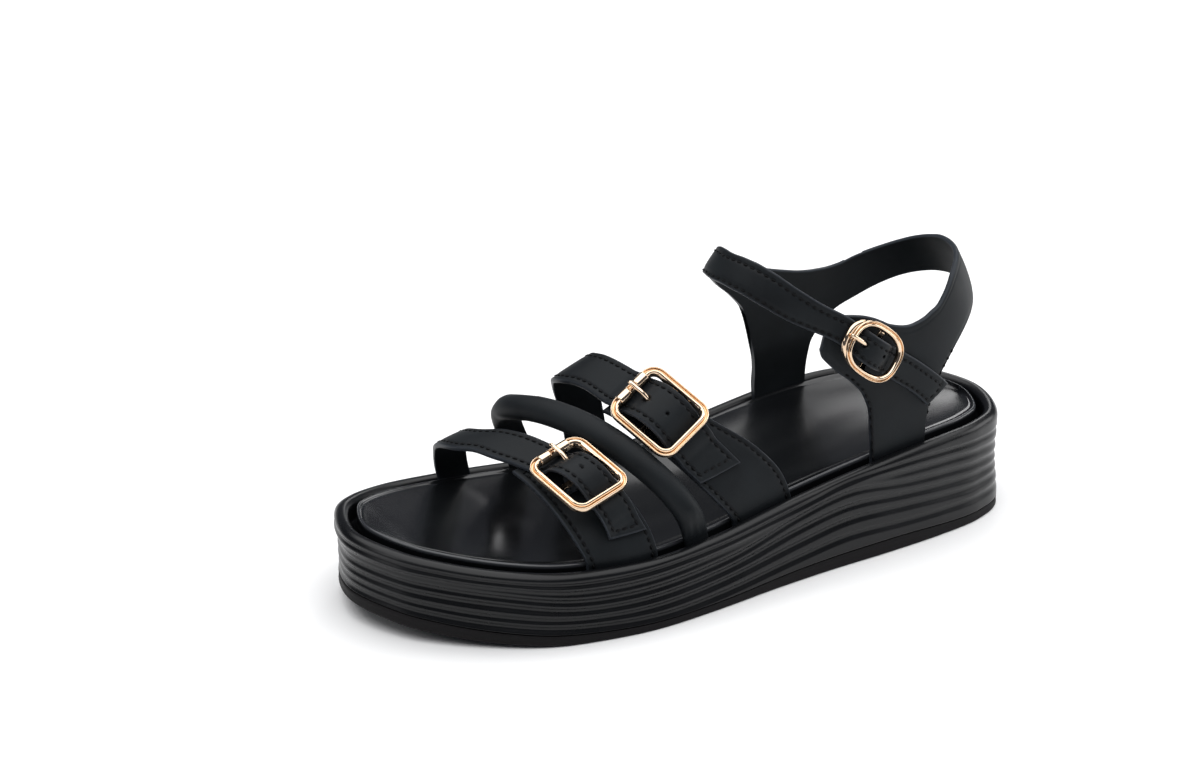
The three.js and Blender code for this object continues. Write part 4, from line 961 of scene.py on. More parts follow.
def add_stitches(name, rows):
    """All the stitches of one strap as one mesh: the template in each stitch's axes."""
    points, sides, ends = stitch_template()
    centre, along, across, off = (np.vstack(parts) for parts in zip(*rows))
    slant = 0.1
    local = points[None, :, :]
    placed = (
        centre[:, None] + local[..., :1] * (along + slant * across)[:, None]
        + local[..., 1:2] * across[:, None] + local[..., 2:] * off[:, None]
    )
    start = (np.arange(len(centre)) * len(points))[:, None, None]
    faces = [(sides[None] + start).reshape(-1, 4), (ends[None] + start).reshape(-1, 3)]
    return add_piece(name, placed.reshape(-1, 3), faces, THREAD_BLACK)


def stitch_dents(points, rows):
    """How deep the stitches press at a point: the deepest of exp(-(along / 1.05)^4 - (across / 0.42)^2)."""
    centre, along, across, _ = (np.vstack(parts) for parts in zip(*rows))
    press = np.zeros(len(points))
    for part in np.array_split(np.arange(len(points)), max(1, len(points) // 4000)):
        arm = points[part][:, None] - centre[None]
        s = np.einsum("ijk,jk->ij", arm, along)
        w = np.einsum("ijk,jk->ij", arm, across)
        near = np.einsum("ijk,ijk->ij", arm, arm) < 9
        press[part] = (near * np.exp(-((s / 1.05) ** 4) - (w / 0.42) ** 2)).max(axis=1)
    return press


# %% Leather sheets
SWELL, UNDULATION = 0.25, 0.1       # how far a strap bulges along its middle, and its unevenness
DENT, SEAM_SINK = 0.3, 0.12         # how deep a stitch presses, and the line of stitches as a whole
HOLE_DEPTH = 1.3


def leather_sheet(
    name, place, under, u, lines, holes=(), middle=(0,), replaces=(), inner_count=9, thick=None
):
    """A closed sheet of leather. place(u, v) gives points and normals of the last, and
    under(u, v, points, normals) the height of the lower face above it. lines are stitch lines, each a list
    of (u, side) corners; holes are (seat, s, w, radius)."""
    thick = thick or (lambda u, v: LEATHER)
    probe = np.linspace(0, 1, 25)
    rough, _ = place(u[:, None], probe[None, :])
    widths = run_lengths(rough, 1)[:, -1]
    v = across_steps(widths, inner_count, middle)
    u_grid = np.broadcast_to(u[:, None], v.shape)
    points, normals = place(u_grid, v)
    along, across = run_lengths(points, 0), run_lengths(points, 1)
    edge = np.minimum(np.minimum(across, across[:, -1:] - across), np.minimum(along, along[-1:] - along))
    base = under(u_grid, v, points, normals)
    full = thick(u_grid, v)
    top = base + full - rounded_corner(edge, ROUND_TOP) + SWELL * (4 * v * (1 - v)) * ease(edge / 3)
    top = top + UNDULATION * soft_noise(points, 26, 3) * ease((edge - 1) / 4)
    low = base + rounded_corner(edge, ROUND_BELOW)
    upper = points + normals * top[..., None]
    rows = [stitch_places(*stitch_line(place, under, thick, line, u, widths)) for line in lines]
    # painted shade: this mask darkens the stitch dents and the holes to near black in the leather's colour
    painted_hole_shade = np.zeros(v.shape)
    if rows:
        press = stitch_dents(upper.reshape(-1, 3), rows).reshape(v.shape)
        seam = SEAM_SINK * np.exp(-(((edge - STITCH_INSET) / 0.5) ** 2))
        upper = upper - normals * (DENT * press + seam)[..., None]
        painted_hole_shade = press
        add_stitches(name + "_stitches", rows)
    for where, s, w, radius in holes:
        hs, hw, _ = from_seat(where, upper)
        pit = ease((radius + 0.25 - np.hypot(hs - s, hw - w)) / 0.35)
        upper = upper - normals * (HOLE_DEPTH * pit)[..., None]
        painted_hole_shade = np.maximum(painted_hole_shade, pit)
    lower = points + normals * low[..., None]
    faces = sheet_faces(*v.shape)
    # the cut edge's mark: greyer for the ink, and lighter as a painted highlight line
    rim = ease((0.7 - edge) / 0.4)
    every = np.vstack([upper.reshape(-1, 3), lower.reshape(-1, 3)])
    faces = [outward(every, faces)]
    marks = {
        "rim": np.concatenate([rim.ravel(), rim.ravel()]),
        "painted_hole_shade": np.concatenate([painted_hole_shade.ravel(), np.zeros(painted_hole_shade.size)]),
    }
    return add_piece(name, every, faces, LEATHER_BLACK, marks=marks, replaces=replaces)


def sheet_faces(rows, columns):
    """Upper grid, lower grid turned over, and the four walls between them."""
    upper = np.arange(rows * columns).reshape(rows, columns)
    lower = upper + rows * columns
    border = np.concatenate([upper[0, :-1], upper[:-1, -1], upper[-1, :0:-1], upper[:0:-1, 0]])
    after = np.roll(border, -1)
    wall = np.column_stack([border, border + rows * columns, after + rows * columns, after])
    top, bottom = grid_quads(rows, columns)[:, ::-1], grid_quads(rows, columns, lower[0, 0])
    return np.vstack([top, bottom, wall[:, ::-1]])


def stitch_line(place, under, thick, line, u, widths):
    """Follows corners (u, side) over a sheet, at the stitches' distance from its "low" or "high" edge."""
    def v_at(at, side):
        share = STITCH_INSET / np.interp(at, u, widths)
        return share if side == "low" else 1 - share

    ats, vs = [], []
    for (u0, side0), (u1, side1) in zip(line[:-1], line[1:]):
        k = np.linspace(0, 1, 240)
        ats.append(lerp(u0, u1, k))
        vs.append(v_at(ats[-1], side0) if side0 == side1 else lerp(v_at(u0, side0), v_at(u1, side1), k))
    at, v = np.concatenate(ats), np.concatenate(vs)
    points, normals = place(at, v)
    height = under(at, v, points, normals) + thick(at, v)
    placed = points + normals * height[:, None]
    keep = np.concatenate([[True], np.linalg.norm(np.diff(placed, axis=0), axis=1) > 1e-4])
    return placed[keep], normals[keep]


# %% [markdown]
# ## The buckled bands
# Each forefoot band is two straps: a wide base that comes up from the groove on the outer side, and the band
# itself, which comes over the foot from the inner groove, rises over the buckle's centre bar, and ends in a
# square stitched tip on the base.

# %% Bands
OVER = 0.4


def band_place(table):
    """u runs along the rows of the table, v from its heelward to its toeward edge."""
    def place(u, v):
        t = lerp(table[0, 0], table[-1, 0], u)
        x = lerp(through(t, table[:, 0], table[:, 1]), through(t, table[:, 0], table[:, 2]), v)
        return on_vamp(x, t)

    return place


SEAT_REACH = 30                 # no part of a strap further than this from its buckle is lifted by it


def over_bar(where, hump, points, normals, base):
    """Height of a sheet that follows the hump wherever that is higher than its own height. Heights go along
    the foot's normals, which fan out, so the hump's height h is found in steps: h += hump(s) - n at h.
    With d the hump's height over the sheet's, (d + sqrt(d^2 + 0.9^2)) / 2 rounds the two into each other."""
    high, end = base + 0.0 * points[..., 0], hump[-1, 0]
    for _ in range(5):
        s, _, n = from_seat(where, points + normals * high[..., None])
        high = high + through(np.clip(s, -end, end), hump[:, 0], hump[:, 1]) - LEATHER - n
    over = high - base
    s, _, _ = from_seat(where, points)
    near = np.linalg.norm(points - where["origin"], axis=-1) < SEAT_REACH
    here = np.clip((end - np.abs(s)) / 3, 0, 1) * near
    return base + (over + np.hypot(over, 0.9)) / 2 * here


def u_steps(count, extra=()):
    """Even steps along a strap, with close ones at both ends and round the extra places."""
    near = np.array([0, 0.06, 0.18, 0.38, 0.6, 0.85, 1.3]) / 120
    fine = [np.linspace(at - 0.012, at + 0.012, 13) for at in extra]
    return np.unique(np.round(np.concatenate([near, np.linspace(0.016, 0.984, count), 1 - near, *fine]), 6))


def u_over(place, where, s, low, high):
    """The u at which a strap's middle line passes s in a buckle's axes."""
    u = np.linspace(low, high, 400)
    points, _ = place(u, np.full(400, 0.5))
    return float(u[np.argmin(np.abs(from_seat(where, points)[0] - s))])


HOLE_S = {"toe_strap": 1.4, "instep_strap": 3.2, "ankle_upper": 4.4}    # the next hole, towards the tip
HOLE_RADIUS = 0.55
SLOT_S = -6.2                       # where the prong comes up through the strap
NEAR_MIDDLE = (-1.3, -0.95, -0.7, -0.5, -0.3, 0, 0.3, 0.5, 0.7, 0.95, 1.3)


def band_height(table, where, hump):
    """On its base by a little play, down on the foot past the crown, and up over the buckle's bar."""
    def under(u, v, points, normals):
        t = lerp(table[0, 0], table[-1, 0], u)
        lie = (LEATHER + OVER) * (1 - ease((t - 0.25) / 0.6))
        return over_bar(where, hump, points, normals, lie)

    return under


BAND_LENGTH, BASE_LENGTH = 118, 50      # millimetres, for the stitches' distance from a tip and an end


def buckled_band(name, table, where, hump, base_name, base_table):
    """One band with its stitches, hole and slot, and the base that it is buckled to."""
    place = band_place(table)
    holes_u = [u_over(place, where, s, 0, 0.4) for s in (HOLE_S[name], SLOT_S)]
    tip = STITCH_INSET / BAND_LENGTH
    leather_sheet(
        name, place, band_height(table, where, hump), u_steps(210, holes_u),
        lines=[[(0.9, "low"), (tip, "low"), (tip, "high"), (0.9, "high")]],
        holes=[(where, HOLE_S[name], 0, HOLE_RADIUS), (where, SLOT_S, 0, 1.1)],
        middle=NEAR_MIDDLE, replaces=[name],
    )
    base_end = 1 - STITCH_INSET / BASE_LENGTH
    leather_sheet(
        base_name, band_place(base_table), lambda u, v, points, normals: np.zeros(u.shape), u_steps(90),
        lines=[[(0.14, "low"), (base_end, "low"), (base_end, "high"), (0.14, "high")]],
        inner_count=14, replaces=[base_name],
    )


buckled_band("toe_strap", TOE_BAND, TOE_SEAT, TOE_HUMP, "toe_strap_base", TOE_BASE)
buckled_band("instep_strap", INSTEP_BAND, INSTEP_SEAT, INSTEP_HUMP, "instep_strap_base", INSTEP_BASE)

# %% [markdown]
# ## The padded round strap
# Between the bands lies a strap of leather rolled round a foam cord. It is an oval tube where it crosses the
# foot and is pressed flat where it goes down into the groove. Leather squeezed like that wrinkles, so short
# folds run along it just where the tube collapses.

# %% Padded strap
TUBE = np.array([               # place on the arch, distance of the tube's middle from the heel
    (-1.2, 150), (-1.0, 151.5), (-0.74, 158), (-0.5, 167), (-0.25, 176.5), (-0.09, 182), (0.05, 186),
    (0.16, 187.5), (0.35, 186.5), (0.6, 182), (0.8, 177.5), (1.2, 171.5),
])
TUBE_WIDTH, TUBE_HEIGHT = 10.0, 8.6


def padded_strap():
    """Section: cos(a) across and sin(a) ^ squash up, from a flat strip (0.25) to an oval (1)."""
    t = np.linspace(-1.2, 1.2, 260)[:, None]
    a = ((np.arange(44) + 0.5) / 44 * 2 * math.pi)[None, :]
    fill = ease(np.where(t < 0, (t + 1.02) / 0.22, (0.72 - t) / 0.5))
    high, squash = lerp(LEATHER, TUBE_HEIGHT, fill), lerp(0.25, 1, fill)
    across = np.cos(a) * TUBE_WIDTH / 2
    up = high / 2 * (1 + np.sign(np.sin(a)) * np.abs(np.sin(a)) ** squash)
    points, normals = on_vamp(through(t, TUBE[:, 0], TUBE[:, 1]) + across, t)
    collapse = 4 * fill * (1 - fill)
    folds = 0.28 * collapse * np.cos(across * 2.1 + 3 * np.sin(t * 9)) * np.clip(np.sin(a), 0, 1)
    seam = 0.35 * np.exp(-(((a - 0.28) / 0.1) ** 2)) * fill
    ripple = 0.1 * soft_noise(points, 22, 8)
    placed = points + normals * (up - folds - seam + ripple * np.clip(np.sin(a), 0, 1))[..., None]
    rows, columns = up.shape
    ends = [placed[0].mean(axis=0), placed[-1].mean(axis=0)]
    every = np.vstack([placed.reshape(-1, 3), ends])
    k = np.arange(columns)
    after, last = (k + 1) % columns, (rows - 1) * columns
    first_cap = np.column_stack([np.full(columns, rows * columns), after, k])
    last_cap = np.column_stack([np.full(columns, rows * columns + 1), last + k, last + after])
    faces = [grid_quads(rows, columns, wrap=True), first_cap, last_cap]
    corners = every[faces[0]]
    turned_in = np.einsum("ij,ij->", corners[:, 0], np.cross(corners[:, 1], corners[:, 2])) < 0
    faces = [part[:, ::-1] for part in faces] if turned_in else faces
    piece = add_piece(
        "round_strap", every, faces, LEATHER_BLACK,
        marks={"rim": np.zeros(len(every)), "painted_hole_shade": np.zeros(len(every))}, replaces=["tube_strap"],
    )
    return piece


padded_strap()

# %% [markdown]
# ## The ankle piece
# One long strip makes the back of the sandal. It starts as the lobe under the ankle buckle, drops a leg into
# the groove, runs as a sling round the heel, drops the inner leg, crosses the front of the ankle and comes
# round to its own buckle. It is drawn by ribs from the lower edge to the upper one, as a pattern cutter
# would mark them; a cubic curve through the ribs gives both edges.

# %% Ankle ribs
GROOVE = None                   # a lower end that stands in the groove
ANKLE_RIBS = [                  # lower angle and height, upper angle and height, height off the last
    (60.2, 81.5, 60.3, 86, 0), (61.2, 79, 61.4, 90.5, 0), (66, 73.1, 65.5, 93.3, 0),
    (71.4, 67.1, 70.5, 92.5, 0), (75.2, 60.7, 75, 90.8, 0), (77, 51.4, 78, 89, 0),
    (77, GROOVE, 81, 87, 0), (86, GROOVE, 86.5, 85.4, 0), (95, GROOVE, 93, 87, 0),
    (96, 44, 98, 88.6, 0), (98.2, 53.8, 103, 90, 0), (103, 61.5, 109, 93, 0), (109.7, 67.4, 115, 96, 0),
    (118, 72.8, 122, 99, 0), (130, 77.9, 133, 101.5, 0), (146, 81.8, 148, 102.5, 0),
    (163, 84.2, 164, 102.3, 0), (179, 84.9, 180, 101.5, 0), (194, 84, 194, 99.4, 0),
    (209, 82, 208, 96.8, 0), (222, 79.5, 221, 94, 0), (236, 75.6, 236, 90.6, 0),
    (249.5, 71, 249.5, 87.6, 0), (262.5, 66.5, 260, 85, 0), (270.5, 61, 268, 84.3, 0),
    (273, 54, 273, 84.5, 0), (273.3, 45, 277, 85.2, 0), (273.3, GROOVE, 281, 86.5, 0),
    (280, GROOVE, 285, 88, 0), (286.6, GROOVE, 289.5, 89.8, 0), (288.4, 46, 294, 91.8, 0),
    (290, 56, 299, 94.2, 0), (291, 64, 305, 97.2, 0), (293, 71, 311, 100.2, 0),
    (296.5, 76.8, 317, 103, 0), (303, 83.6, 324, 106, 0), (312, 90, 332, 109, 0),
    (322, 96, 340, 111, 0), (335, 100.8, 348, 112.4, 0), (350, 103.2, 358, 113, 0),
    (365, 103.7, 370, 113, 0.3), (380, 102.3, 381, 112.2, 1.2), (394, 98.7, 393, 109.6, 2.1),
    (407, 93.2, 406.4, 104.1, 2.4), (416, 89, 417, 98.6, 2.4), (423.6, 84.7, 426.2, 93.2, 2.4),
    (430.3, 78.1, 434, 86.2, 2.4), (436.4, 72.2, 441, 79.7, 2.4), (441.8, 66.2, 447.2, 73.6, 2.4),
    (447.2, 60, 455.4, 67, 2.4), (453.6, 53.2, 467, 59.5, 2.4),
]
RIBS = len(ANKLE_RIBS)


def groove_foot(angle):
    """Height of the groove's floor side under a rib."""
    return float(crest(ankle_last(angle, 38)[..., 0]) - TUCK)


# the oval's back half turns a given way forward in about half the degrees of its front half; curves are
# drawn in degrees of equal way ("swing") so that they pass from one half to the other without a kink
QUARTERS = np.array([-90, 90, 270, 450, 630])
SWINGS = np.array([-90, 90, 176, 356, 442])


def swing(angle):
    """Degrees of the oval to degrees of equal way, straight between the quarters."""
    return np.interp(angle, QUARTERS, SWINGS)


def unswing(way):
    """The way back from swing."""
    return np.interp(way, SWINGS, QUARTERS)


RIB_VALUES = np.array([
    (swing(low), groove_foot(low) if low_z is GROOVE else low_z, swing(high), high_z, lift)
    for low, low_z, high, high_z, lift in ANKLE_RIBS
])


def rib(column, u):
    """A rib's value at u, steady between ribs so that no edge swings past its marks."""
    return through(u * (RIBS - 1), np.arange(RIBS), RIB_VALUES[:, column], steady=True)


def ankle_place(u, v):
    """Angle and height go straight from the lower to the upper edge; the first fifth ends above the rim."""
    u, v = np.broadcast_arrays(u, v)
    low_way, low, high_way, high = (rib(k, u) for k in range(4))
    hem = np.maximum(crest(ankle_last(unswing(low_way), 38)[..., 0]) + STRAIGHT + 0.5, lerp(low, high, 0.12))
    z = np.where(v <= 0.2, lerp(low, hem, v / 0.2), lerp(hem, high, (v - 0.2) / 0.8))
    return on_ankle(unswing(lerp(low_way, high_way, (z - low) / (high - low))), z)


STRAP_START = 0.84              # from here on the strip is the end that goes over the buckle's bar
ELASTIC = (21.6, 22.6)          # the ribs between which the sling is a short elastic inset


def ankle_height(u, v, points, normals):
    """The ribs' own height off the last, and on the strap's end whatever the buckle's bar asks for."""
    lie = rib(4, u)
    return np.where(u < STRAP_START, lie, over_bar(ANKLE_SEAT, ANKLE_HUMP, points, normals, lie))


def ankle_thickness(u, v):
    """Full leather, thinner over the elastic inset, whose two ends show as steps."""
    at = u * (RIBS - 1)
    inset = ease((at - ELASTIC[0]) / 0.05) * ease((ELASTIC[1] - at) / 0.05)
    return LEATHER - 0.55 * inset


def ankle_piece():
    """Columns follow the ribs, close along the strap's end; stitches run where the real one is sewn."""
    last = RIBS - 1
    hole_s, slot_s = HOLE_S["ankle_upper"], ANKLE_BAR + SLOT_S
    hole_u = [u_over(ankle_place, ANKLE_SEAT, s, 0.88, 0.99) for s in (hole_s, slot_s)]
    fine = [np.linspace(at - 0.0025, at + 0.0025, 11) for at in hole_u]
    steps = [np.linspace(ELASTIC[k] - 0.06, ELASTIC[k] + 0.06, 9) / last for k in (0, 1)]
    ends = np.array([0, 0.0001, 0.0003, 0.0006, 0.001, 0.0015])
    u = np.unique(np.round(np.concatenate([
        ends, np.linspace(0.002, 0.6, 380), np.linspace(0.601, 0.998, 330), 1 - ends, *fine, *steps,
    ]), 6))
    tip = 1 - 0.0045
    leather_sheet(
        "ankle_upper", ankle_place, ankle_height, u,
        lines=[
            [(36.6 / last, "low"), (tip, "low"), (tip, "high"), (31 / last, "high")],
            [(2.5 / last, "low"), (5.85 / last, "low")],
            [(9.2 / last, "low"), (12.5 / last, "low")],
        ],
        holes=[(ANKLE_SEAT, hole_s, 0, HOLE_RADIUS), (ANKLE_SEAT, slot_s, 0, 1.0)],
        middle=NEAR_MIDDLE, inner_count=12, thick=ankle_thickness, replaces=["ankle_upper"],
    )


ankle_piece()

# %% [markdown]
# ## Buckles
# The buckles are die-cast and polished. The square ones are a round-cornered frame with a rolling sleeve on
# the inner end bar, and the ankle one is a squarish oval with a crescent swelling out of its front end. Both
# frames have one cast section, an outer bead and an inner bevel with a groove between, which gives the metal
# its dark and bright lines. All are one idea: a section carried along a path, with the path's own axes worked
# out as arrays.

# %% Wires
def wire(path, up, half_width, half_height, power=2.0, closed=False, sides=20, section=None):
    """Carries a section round a path. The section is a superellipse |x/w|^p + |y/h|^p = 1, or a given outline
    in shares of the half sizes, which may vary along the path."""
    if closed:
        along = unit(np.roll(path, -1, axis=0) - np.roll(path, 1, axis=0))
    else:
        along = unit(np.gradient(path, axis=0))
    beside = unit(np.cross(along, up))
    above = np.cross(beside, along)
    count = len(path)
    half_width, half_height = (np.broadcast_to(k, count)[:, None] for k in (half_width, half_height))
    if section is None:
        a = (np.arange(sides) + 0.5) / sides * 2 * math.pi
        section = np.sign([np.cos(a), np.sin(a)]) * np.abs([np.cos(a), np.sin(a)]) ** (2 / power)
    sides = section.shape[1]
    x, y = section[0] * half_width, section[1] * half_height
    points = path[:, None] + x[..., None] * beside[:, None] + y[..., None] * above[:, None]
    index = np.arange(count * sides).reshape(count, sides)
    beside_index = np.roll(index, -1, axis=1)
    next_index = np.roll(index, -1, axis=0)
    rows = slice(None) if closed else slice(0, -1)
    quads = np.stack([
        index[rows], beside_index[rows], np.roll(next_index, -1, axis=1)[rows], next_index[rows],
    ], axis=-1).reshape(-1, 4)
    every, groups = points.reshape(-1, 3), [quads]
    if not closed:
        tips = path[[0, -1]]
        every = np.vstack([every, tips])
        k = np.arange(sides)
        first = np.column_stack([np.full(sides, count * sides), (k + 1) % sides, k])
        last_row = (count - 1) * sides
        last = np.column_stack([np.full(sides, count * sides + 1), last_row + k, last_row + (k + 1) % sides])
        groups += [first, last]
    corners = every[quads]
    inside_out = np.einsum("ij,ij->", corners[:, 0] - path.mean(axis=0), np.cross(
        corners[:, 1] - corners[:, 0], corners[:, 2] - corners[:, 0])) < 0
    return every, [g[:, ::-1] for g in groups] if inside_out else groups


ROD_ROUND = 0.5                 # radius of a rod's rounded rims


def rod(place, ends, radius):
    """A straight rod between two (s, w, n) ends with rounded rims: its radius follows a quarter circle."""
    a, b = (in_seat(place, *end) for end in ends)
    length = np.linalg.norm(b - a)
    curve = np.linspace(0, math.pi / 2, 6)
    inwards = ROD_ROUND * (1 - np.cos(curve))
    at = np.concatenate([inwards, length - inwards[::-1]]) / length
    size = radius - ROD_ROUND * (1 - np.sin(np.concatenate([curve, curve[::-1]])))
    return wire(lerp(a, b, at[:, None]), place["n"], size, size, sides=24)


def join_parts(parts):
    """Puts several bodies into one list of points and faces."""
    points, faces, start = [], [], 0
    for every, groups in parts:
        points.append(every)
        faces += [g + start for g in groups]
        start += len(every)
    return np.vstack(points), faces


# %% Cast section
def smooth_loop(corners, count):
    """Evenly spread points on the closed cubic through some corners."""
    n, k = len(corners), np.arange(-3, len(corners) + 4)
    return np.array([through(np.arange(count) / count * n, k, corners[k % n, axis]) for axis in (0, 1)])


# from outside inwards over the top: a raised outer bead, a groove, a broad bevel towards the strap
CAST = smooth_loop(np.array([
    (1, -0.25), (1, 0.35), (0.86, 0.66), (0.68, 0.58), (0.52, 0.0), (0.36, -0.04), (0.18, 0.62),
    (-0.12, 0.96), (-0.5, 0.84), (-0.85, 0.35), (-1, -0.15), (-0.86, -0.75), (-0.4, -0.95),
    (0.1, -0.95), (0.6, -0.9), (0.92, -0.7),
]), 40)


# %% Square buckles
def rounded_frame(length, width, corner):
    """Middle line of a round-cornered rectangle: quarter circles joined by even steps on the straights."""
    points = []
    for a, b, start in ((1, 1, 0), (-1, 1, 90), (-1, -1, 180), (1, -1, 270)):
        angle = np.radians(start + np.linspace(0, 90, 10))
        points.append(np.column_stack([
            a * (length / 2 - corner) + np.cos(angle) * corner,
            b * (width / 2 - corner) + np.sin(angle) * corner,
        ]))
    filled = []
    for k, arc in enumerate(points):
        after = points[(k + 1) % 4][0]
        filled += [arc, lerp(arc[-1], after, np.linspace(0, 1, 8)[1:-1, None])]
    return np.vstack(filled)


PRONG_RADIUS, SLEEVE_RADIUS, PRONG_GAP = 0.95, 2.05, 1.7


def square_buckle(name, place, size):
    """The cast section along a rounded frame, a centre bar that dips under the strap, and two sleeves."""
    r = size["wire"]
    frame_line = rounded_frame(size["length"] - 2 * r, size["width"] - 2 * r, size["corner"] - r)
    middle_line = in_seat(place, frame_line[:, 0], frame_line[:, 1], 0)
    ring = wire(middle_line, place["n"], r, 0.92 * r, section=CAST, closed=True)
    half = size["width"] / 2 - r
    bar = in_seat(place, 0, [-half, -half + 1.5, half - 1.5, half], [-0.6, -BAR_DROP, -BAR_DROP, -0.6])
    end = r - size["length"] / 2
    sleeve_end = half - size["corner"] + r - 0.4
    sleeves = [
        rod(place, [(end, side * PRONG_GAP, 0), (end, side * sleeve_end, 0)], SLEEVE_RADIUS)
        for side in (-1, 1)
    ]
    points, faces = join_parts([ring, wire(bar, place["n"], BAR_RADIUS, BAR_RADIUS), *sleeves])
    return add_piece(name, points, faces, GOLD, replaces=[name])


square_buckle("toe_buckle", TOE_SEAT, TOE_BUCKLE)
square_buckle("instep_buckle", INSTEP_SEAT, INSTEP_BUCKLE)


# %% Oval ankle buckle
CRESCENT_SWELL = 2.2            # how far the crescent's middle stands out of the ring


def oval_buckle(name, place, size):
    """Ring: |s/a|^p + |w/b|^p = 1. The crescent is its front half, swollen by a sine of its own run."""
    r = size["wire"]
    a, b = size["length"] / 2 - r - ANKLE_BAR, size["width"] / 2 - r

    def on_ring(angle, swell=0.0):
        c, s = np.cos(angle), np.sin(angle)
        power = 2 / size["squareness"]
        return (
            ANKLE_BAR + (a + swell) * np.sign(c) * np.abs(c) ** power, b * np.sign(s) * np.abs(s) ** power
        )

    s, w = on_ring(np.linspace(0, 2 * math.pi, 96, endpoint=False))
    ring = wire(in_seat(place, s, w, 0), place["n"], r, 0.95 * r, section=CAST, closed=True)
    k = np.linspace(0, 1, 40)
    s, w = on_ring(np.radians(lerp(100, 260, k)), CRESCENT_SWELL * np.sin(k * math.pi))
    thin = r * 0.85 * (0.45 + 0.55 * np.sin(k * math.pi) ** 0.5)
    crescent = wire(in_seat(place, s, w, -0.8), place["n"], thin, thin)
    bar = in_seat(place, ANKLE_BAR, [-b, -b + 1.5, b - 1.5, b], [-0.6, -BAR_DROP, -BAR_DROP, -0.6])
    points, faces = join_parts([ring, crescent, wire(bar, place["n"], BAR_RADIUS, BAR_RADIUS)])
    return add_piece(name, points, faces, GOLD, replaces=[name])


oval_buckle("ankle_buckle", ANKLE_SEAT, ANKLE_BUCKLE)


# %% Prongs
PRONG_TIP = 0.9                 # length of the prong's rounded end


def prong(name, place, bar_at, reach, end_radius):
    """Loops round the centre bar, comes up through the strap and rests on the end bar with a rounded tip."""
    rest = end_radius + GAP + PRONG_RADIUS
    knots = np.array([
        (bar_at - 1.4, -BAR_DROP + 0.2), (bar_at - 4, 0), (bar_at - 6.4, rest * 0.62),
        (bar_at - 8.6, rest * 0.95), (-reach + 1.5, rest), (-reach - 0.6, rest), (-reach - 2.0, rest - 0.5),
    ])
    run = np.concatenate([[0], np.cumsum(np.linalg.norm(np.diff(knots, axis=0), axis=1))])
    round_end = PRONG_TIP * np.cos(np.linspace(0, math.pi / 2, 7)[1:])
    at = np.concatenate([np.linspace(0, run[-1] - PRONG_TIP, 40), run[-1] - round_end])
    line = in_seat(place, through(at, run, knots[:, 0]), 0, through(at, run, knots[:, 1]))
    left = np.clip((run[-1] - at) / PRONG_TIP, 0, 1)
    taper = lerp(0.82, 1, (run[-1] - at) / run[-1])
    size = PRONG_RADIUS * np.sqrt(np.clip(1 - (1 - left) ** 2, 0.01, 1)) * taper
    shank = wire(line, place["w"], size, size, sides=16)
    angle = np.linspace(0, 2 * math.pi, 36, endpoint=False)
    loop_radius = BAR_RADIUS + GAP + 0.35
    loops = [
        wire(
            in_seat(place, bar_at + loop_radius * np.cos(angle), w, -BAR_DROP + loop_radius * np.sin(angle)),
            place["w"], 0.62, 0.35, closed=True, sides=12,
        )
        for w in (-0.62, 0.62)
    ]
    points, faces = join_parts([shank, *loops])
    return add_piece(name, points, faces, GOLD, replaces=[name])


def reach(size):
    """From a buckle's middle to the middle line of its end bar."""
    return size["length"] / 2 - size["wire"]


prong("toe_prong", TOE_SEAT, 0, reach(TOE_BUCKLE), SLEEVE_RADIUS)
prong("instep_prong", INSTEP_SEAT, 0, reach(INSTEP_BUCKLE), SLEEVE_RADIUS)
prong("ankle_prong", ANKLE_SEAT, ANKLE_BAR, reach(ANKLE_BUCKLE) - ANKLE_BAR, ANKLE_BUCKLE["wire"])


# %% Keepers
KEEPER_OFF = 3.5                # from the buckle's middle to each keeper's


def keepers(name, place, bar_at, web):
    """Two loops of leather round the centre bar, each with a web down to the strap below."""
    parts = []
    angle = np.linspace(0, 2 * math.pi, 40, endpoint=False)
    radius = BAR_RADIUS + GAP + 0.4
    for side in (-1, 1):
        ring = in_seat(
            place, bar_at + radius * np.cos(angle), side * KEEPER_OFF, -BAR_DROP + radius * np.sin(angle)
        )
        parts.append(wire(ring, place["w"], 1.5, 0.4, power=5, closed=True, sides=16))
        down = np.linspace(BAR_RADIUS + GAP + 0.3, BAR_RADIUS + GAP + web, 6)
        line = in_seat(place, bar_at, side * KEEPER_OFF, -BAR_DROP - down)
        parts.append(wire(line, place["s"], 1.5, 0.7, power=6, sides=16))
    points, faces = join_parts(parts)
    # the keepers are mixed three tenths of the way to the edge colour: partly edge ink, partly painted
    # highlight
    zero = np.zeros(len(points))
    return add_piece(
        name, points, faces, LEATHER_BLACK, marks={"rim": zero + 0.3, "painted_hole_shade": zero}
    )


keepers("toe_keepers", TOE_SEAT, 0, 3.6)
keepers("instep_keepers", INSTEP_SEAT, 0, 3.6)
keepers("ankle_keepers", ANKLE_SEAT, ANKLE_BAR, 3.0)

# %% [markdown]
# ## Floor and light
# Black leather shows hardly more than reflections, so the lights are shapes to be seen in it. A very wide sun
# overhead makes the floor evenly white and leaves hardly a shadow. The surroundings are dim, so what faces
# the horizon stays black. Three small soft boxes draw a pool on the insole's heel, light the back of the
# wall's ribs and give the toe's rim a glint.

# %% Studio
FLOOR_REACH = 30.0              # metres from the shoe to the floor's edge, so that no edge shows


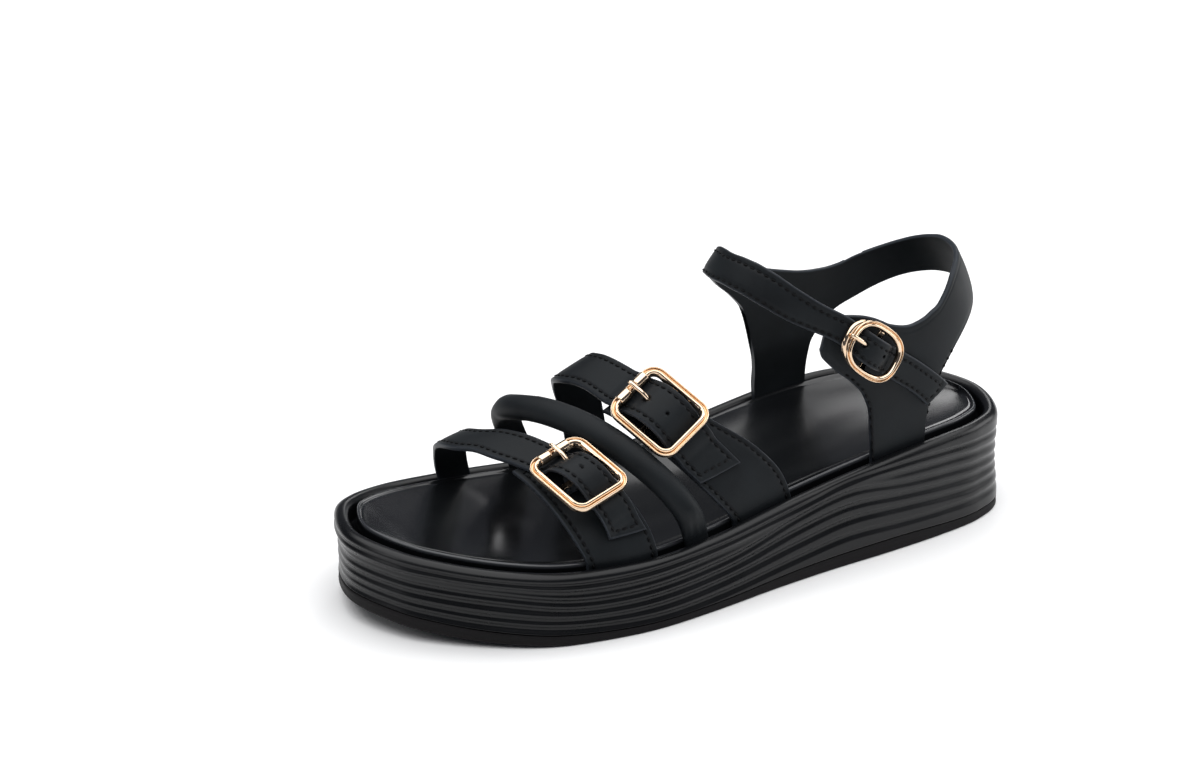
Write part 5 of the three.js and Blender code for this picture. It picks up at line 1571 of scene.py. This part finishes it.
def make_floor():
    """One white sheet under the shoe, which is staging and no part of it."""
    mesh = bpy.data.meshes.new("floor")
    corners = [(a * FLOOR_REACH, b * FLOOR_REACH, 0) for a, b in ((-1, -1), (1, -1), (1, 1), (-1, 1))]
    mesh.from_pydata(corners, [], [(0, 1, 2, 3)])
    floor = bpy.data.objects.new("floor", mesh)
    bpy.context.scene.collection.objects.link(floor)
    m = new_material("painted_studio_floor_white")
    place = add_node(m, "ShaderNodeTexCoord").outputs["Object"]
    dust = add_node(m, "ShaderNodeTexNoise", {"Vector": place, "Scale": 3.0, "Detail": 2.0}).outputs["Fac"]
    colour = add_node(
        m, "ShaderNodeMix", {0: dust, 6: linear("f4f4f4"), 7: linear("f8f8f8")}, data_type="RGBA"
    ).outputs[2]
    finish_material(m, {"Base Color": colour, "Roughness": 0.9, "Specular IOR Level": 0.1})
    mesh.materials.append(m)


def soft_box(name, azimuth, height, distance, width, tall, power, aim=(0, 0, 0.04)):
    """A rectangular light on a sphere round the shoe, facing it. Azimuth 0 is the outer side, 90 the toe."""
    a, h = math.radians(azimuth), math.radians(height)
    data = bpy.data.lights.new(name, "AREA")
    data.shape, data.size, data.size_y, data.energy = "RECTANGLE", width, tall, power
    light = bpy.data.objects.new(name, data)
    bpy.context.scene.collection.objects.link(light)
    way = Vector((math.sin(a) * math.cos(h), math.cos(a) * math.cos(h), math.sin(h)))
    spot = Vector(aim) + way * distance
    light.matrix_world = Matrix.Translation(spot) @ way.to_track_quat("Z", "Y").to_matrix().to_4x4()
    return light


def make_world(strength):
    """Even surroundings of a cool white."""
    world = bpy.data.worlds.new("studio")
    bpy.context.scene.world = world
    world.use_nodes = True
    back = world.node_tree.nodes["Background"]
    back.inputs["Color"].default_value = linear("e9efff")
    back.inputs["Strength"].default_value = strength


def soft_sky(spread_deg, strength):
    """A very wide sun straight overhead: it lights the whole floor evenly and leaves hardly a shadow."""
    data = bpy.data.lights.new("soft_sky", "SUN")
    data.angle, data.energy = math.radians(spread_deg), strength
    bpy.context.scene.collection.objects.link(bpy.data.objects.new("soft_sky", data))


make_floor()
make_world(0.1)
soft_sky(92, 3.8)
soft_box("heel_pool", 218, 25, 1.5, 0.26, 0.5, 1.5, aim=(-0.1, 0, 0.045))
soft_box("heel_side", 285, 22, 1.2, 0.8, 0.6, 5, aim=(-0.12, 0, 0.03))
soft_box("toe_rim", 95, 30, 1.3, 0.3, 0.3, 1.2, aim=(0.1, 0, 0.03))
bpy.context.scene.view_settings.view_transform = "Standard"
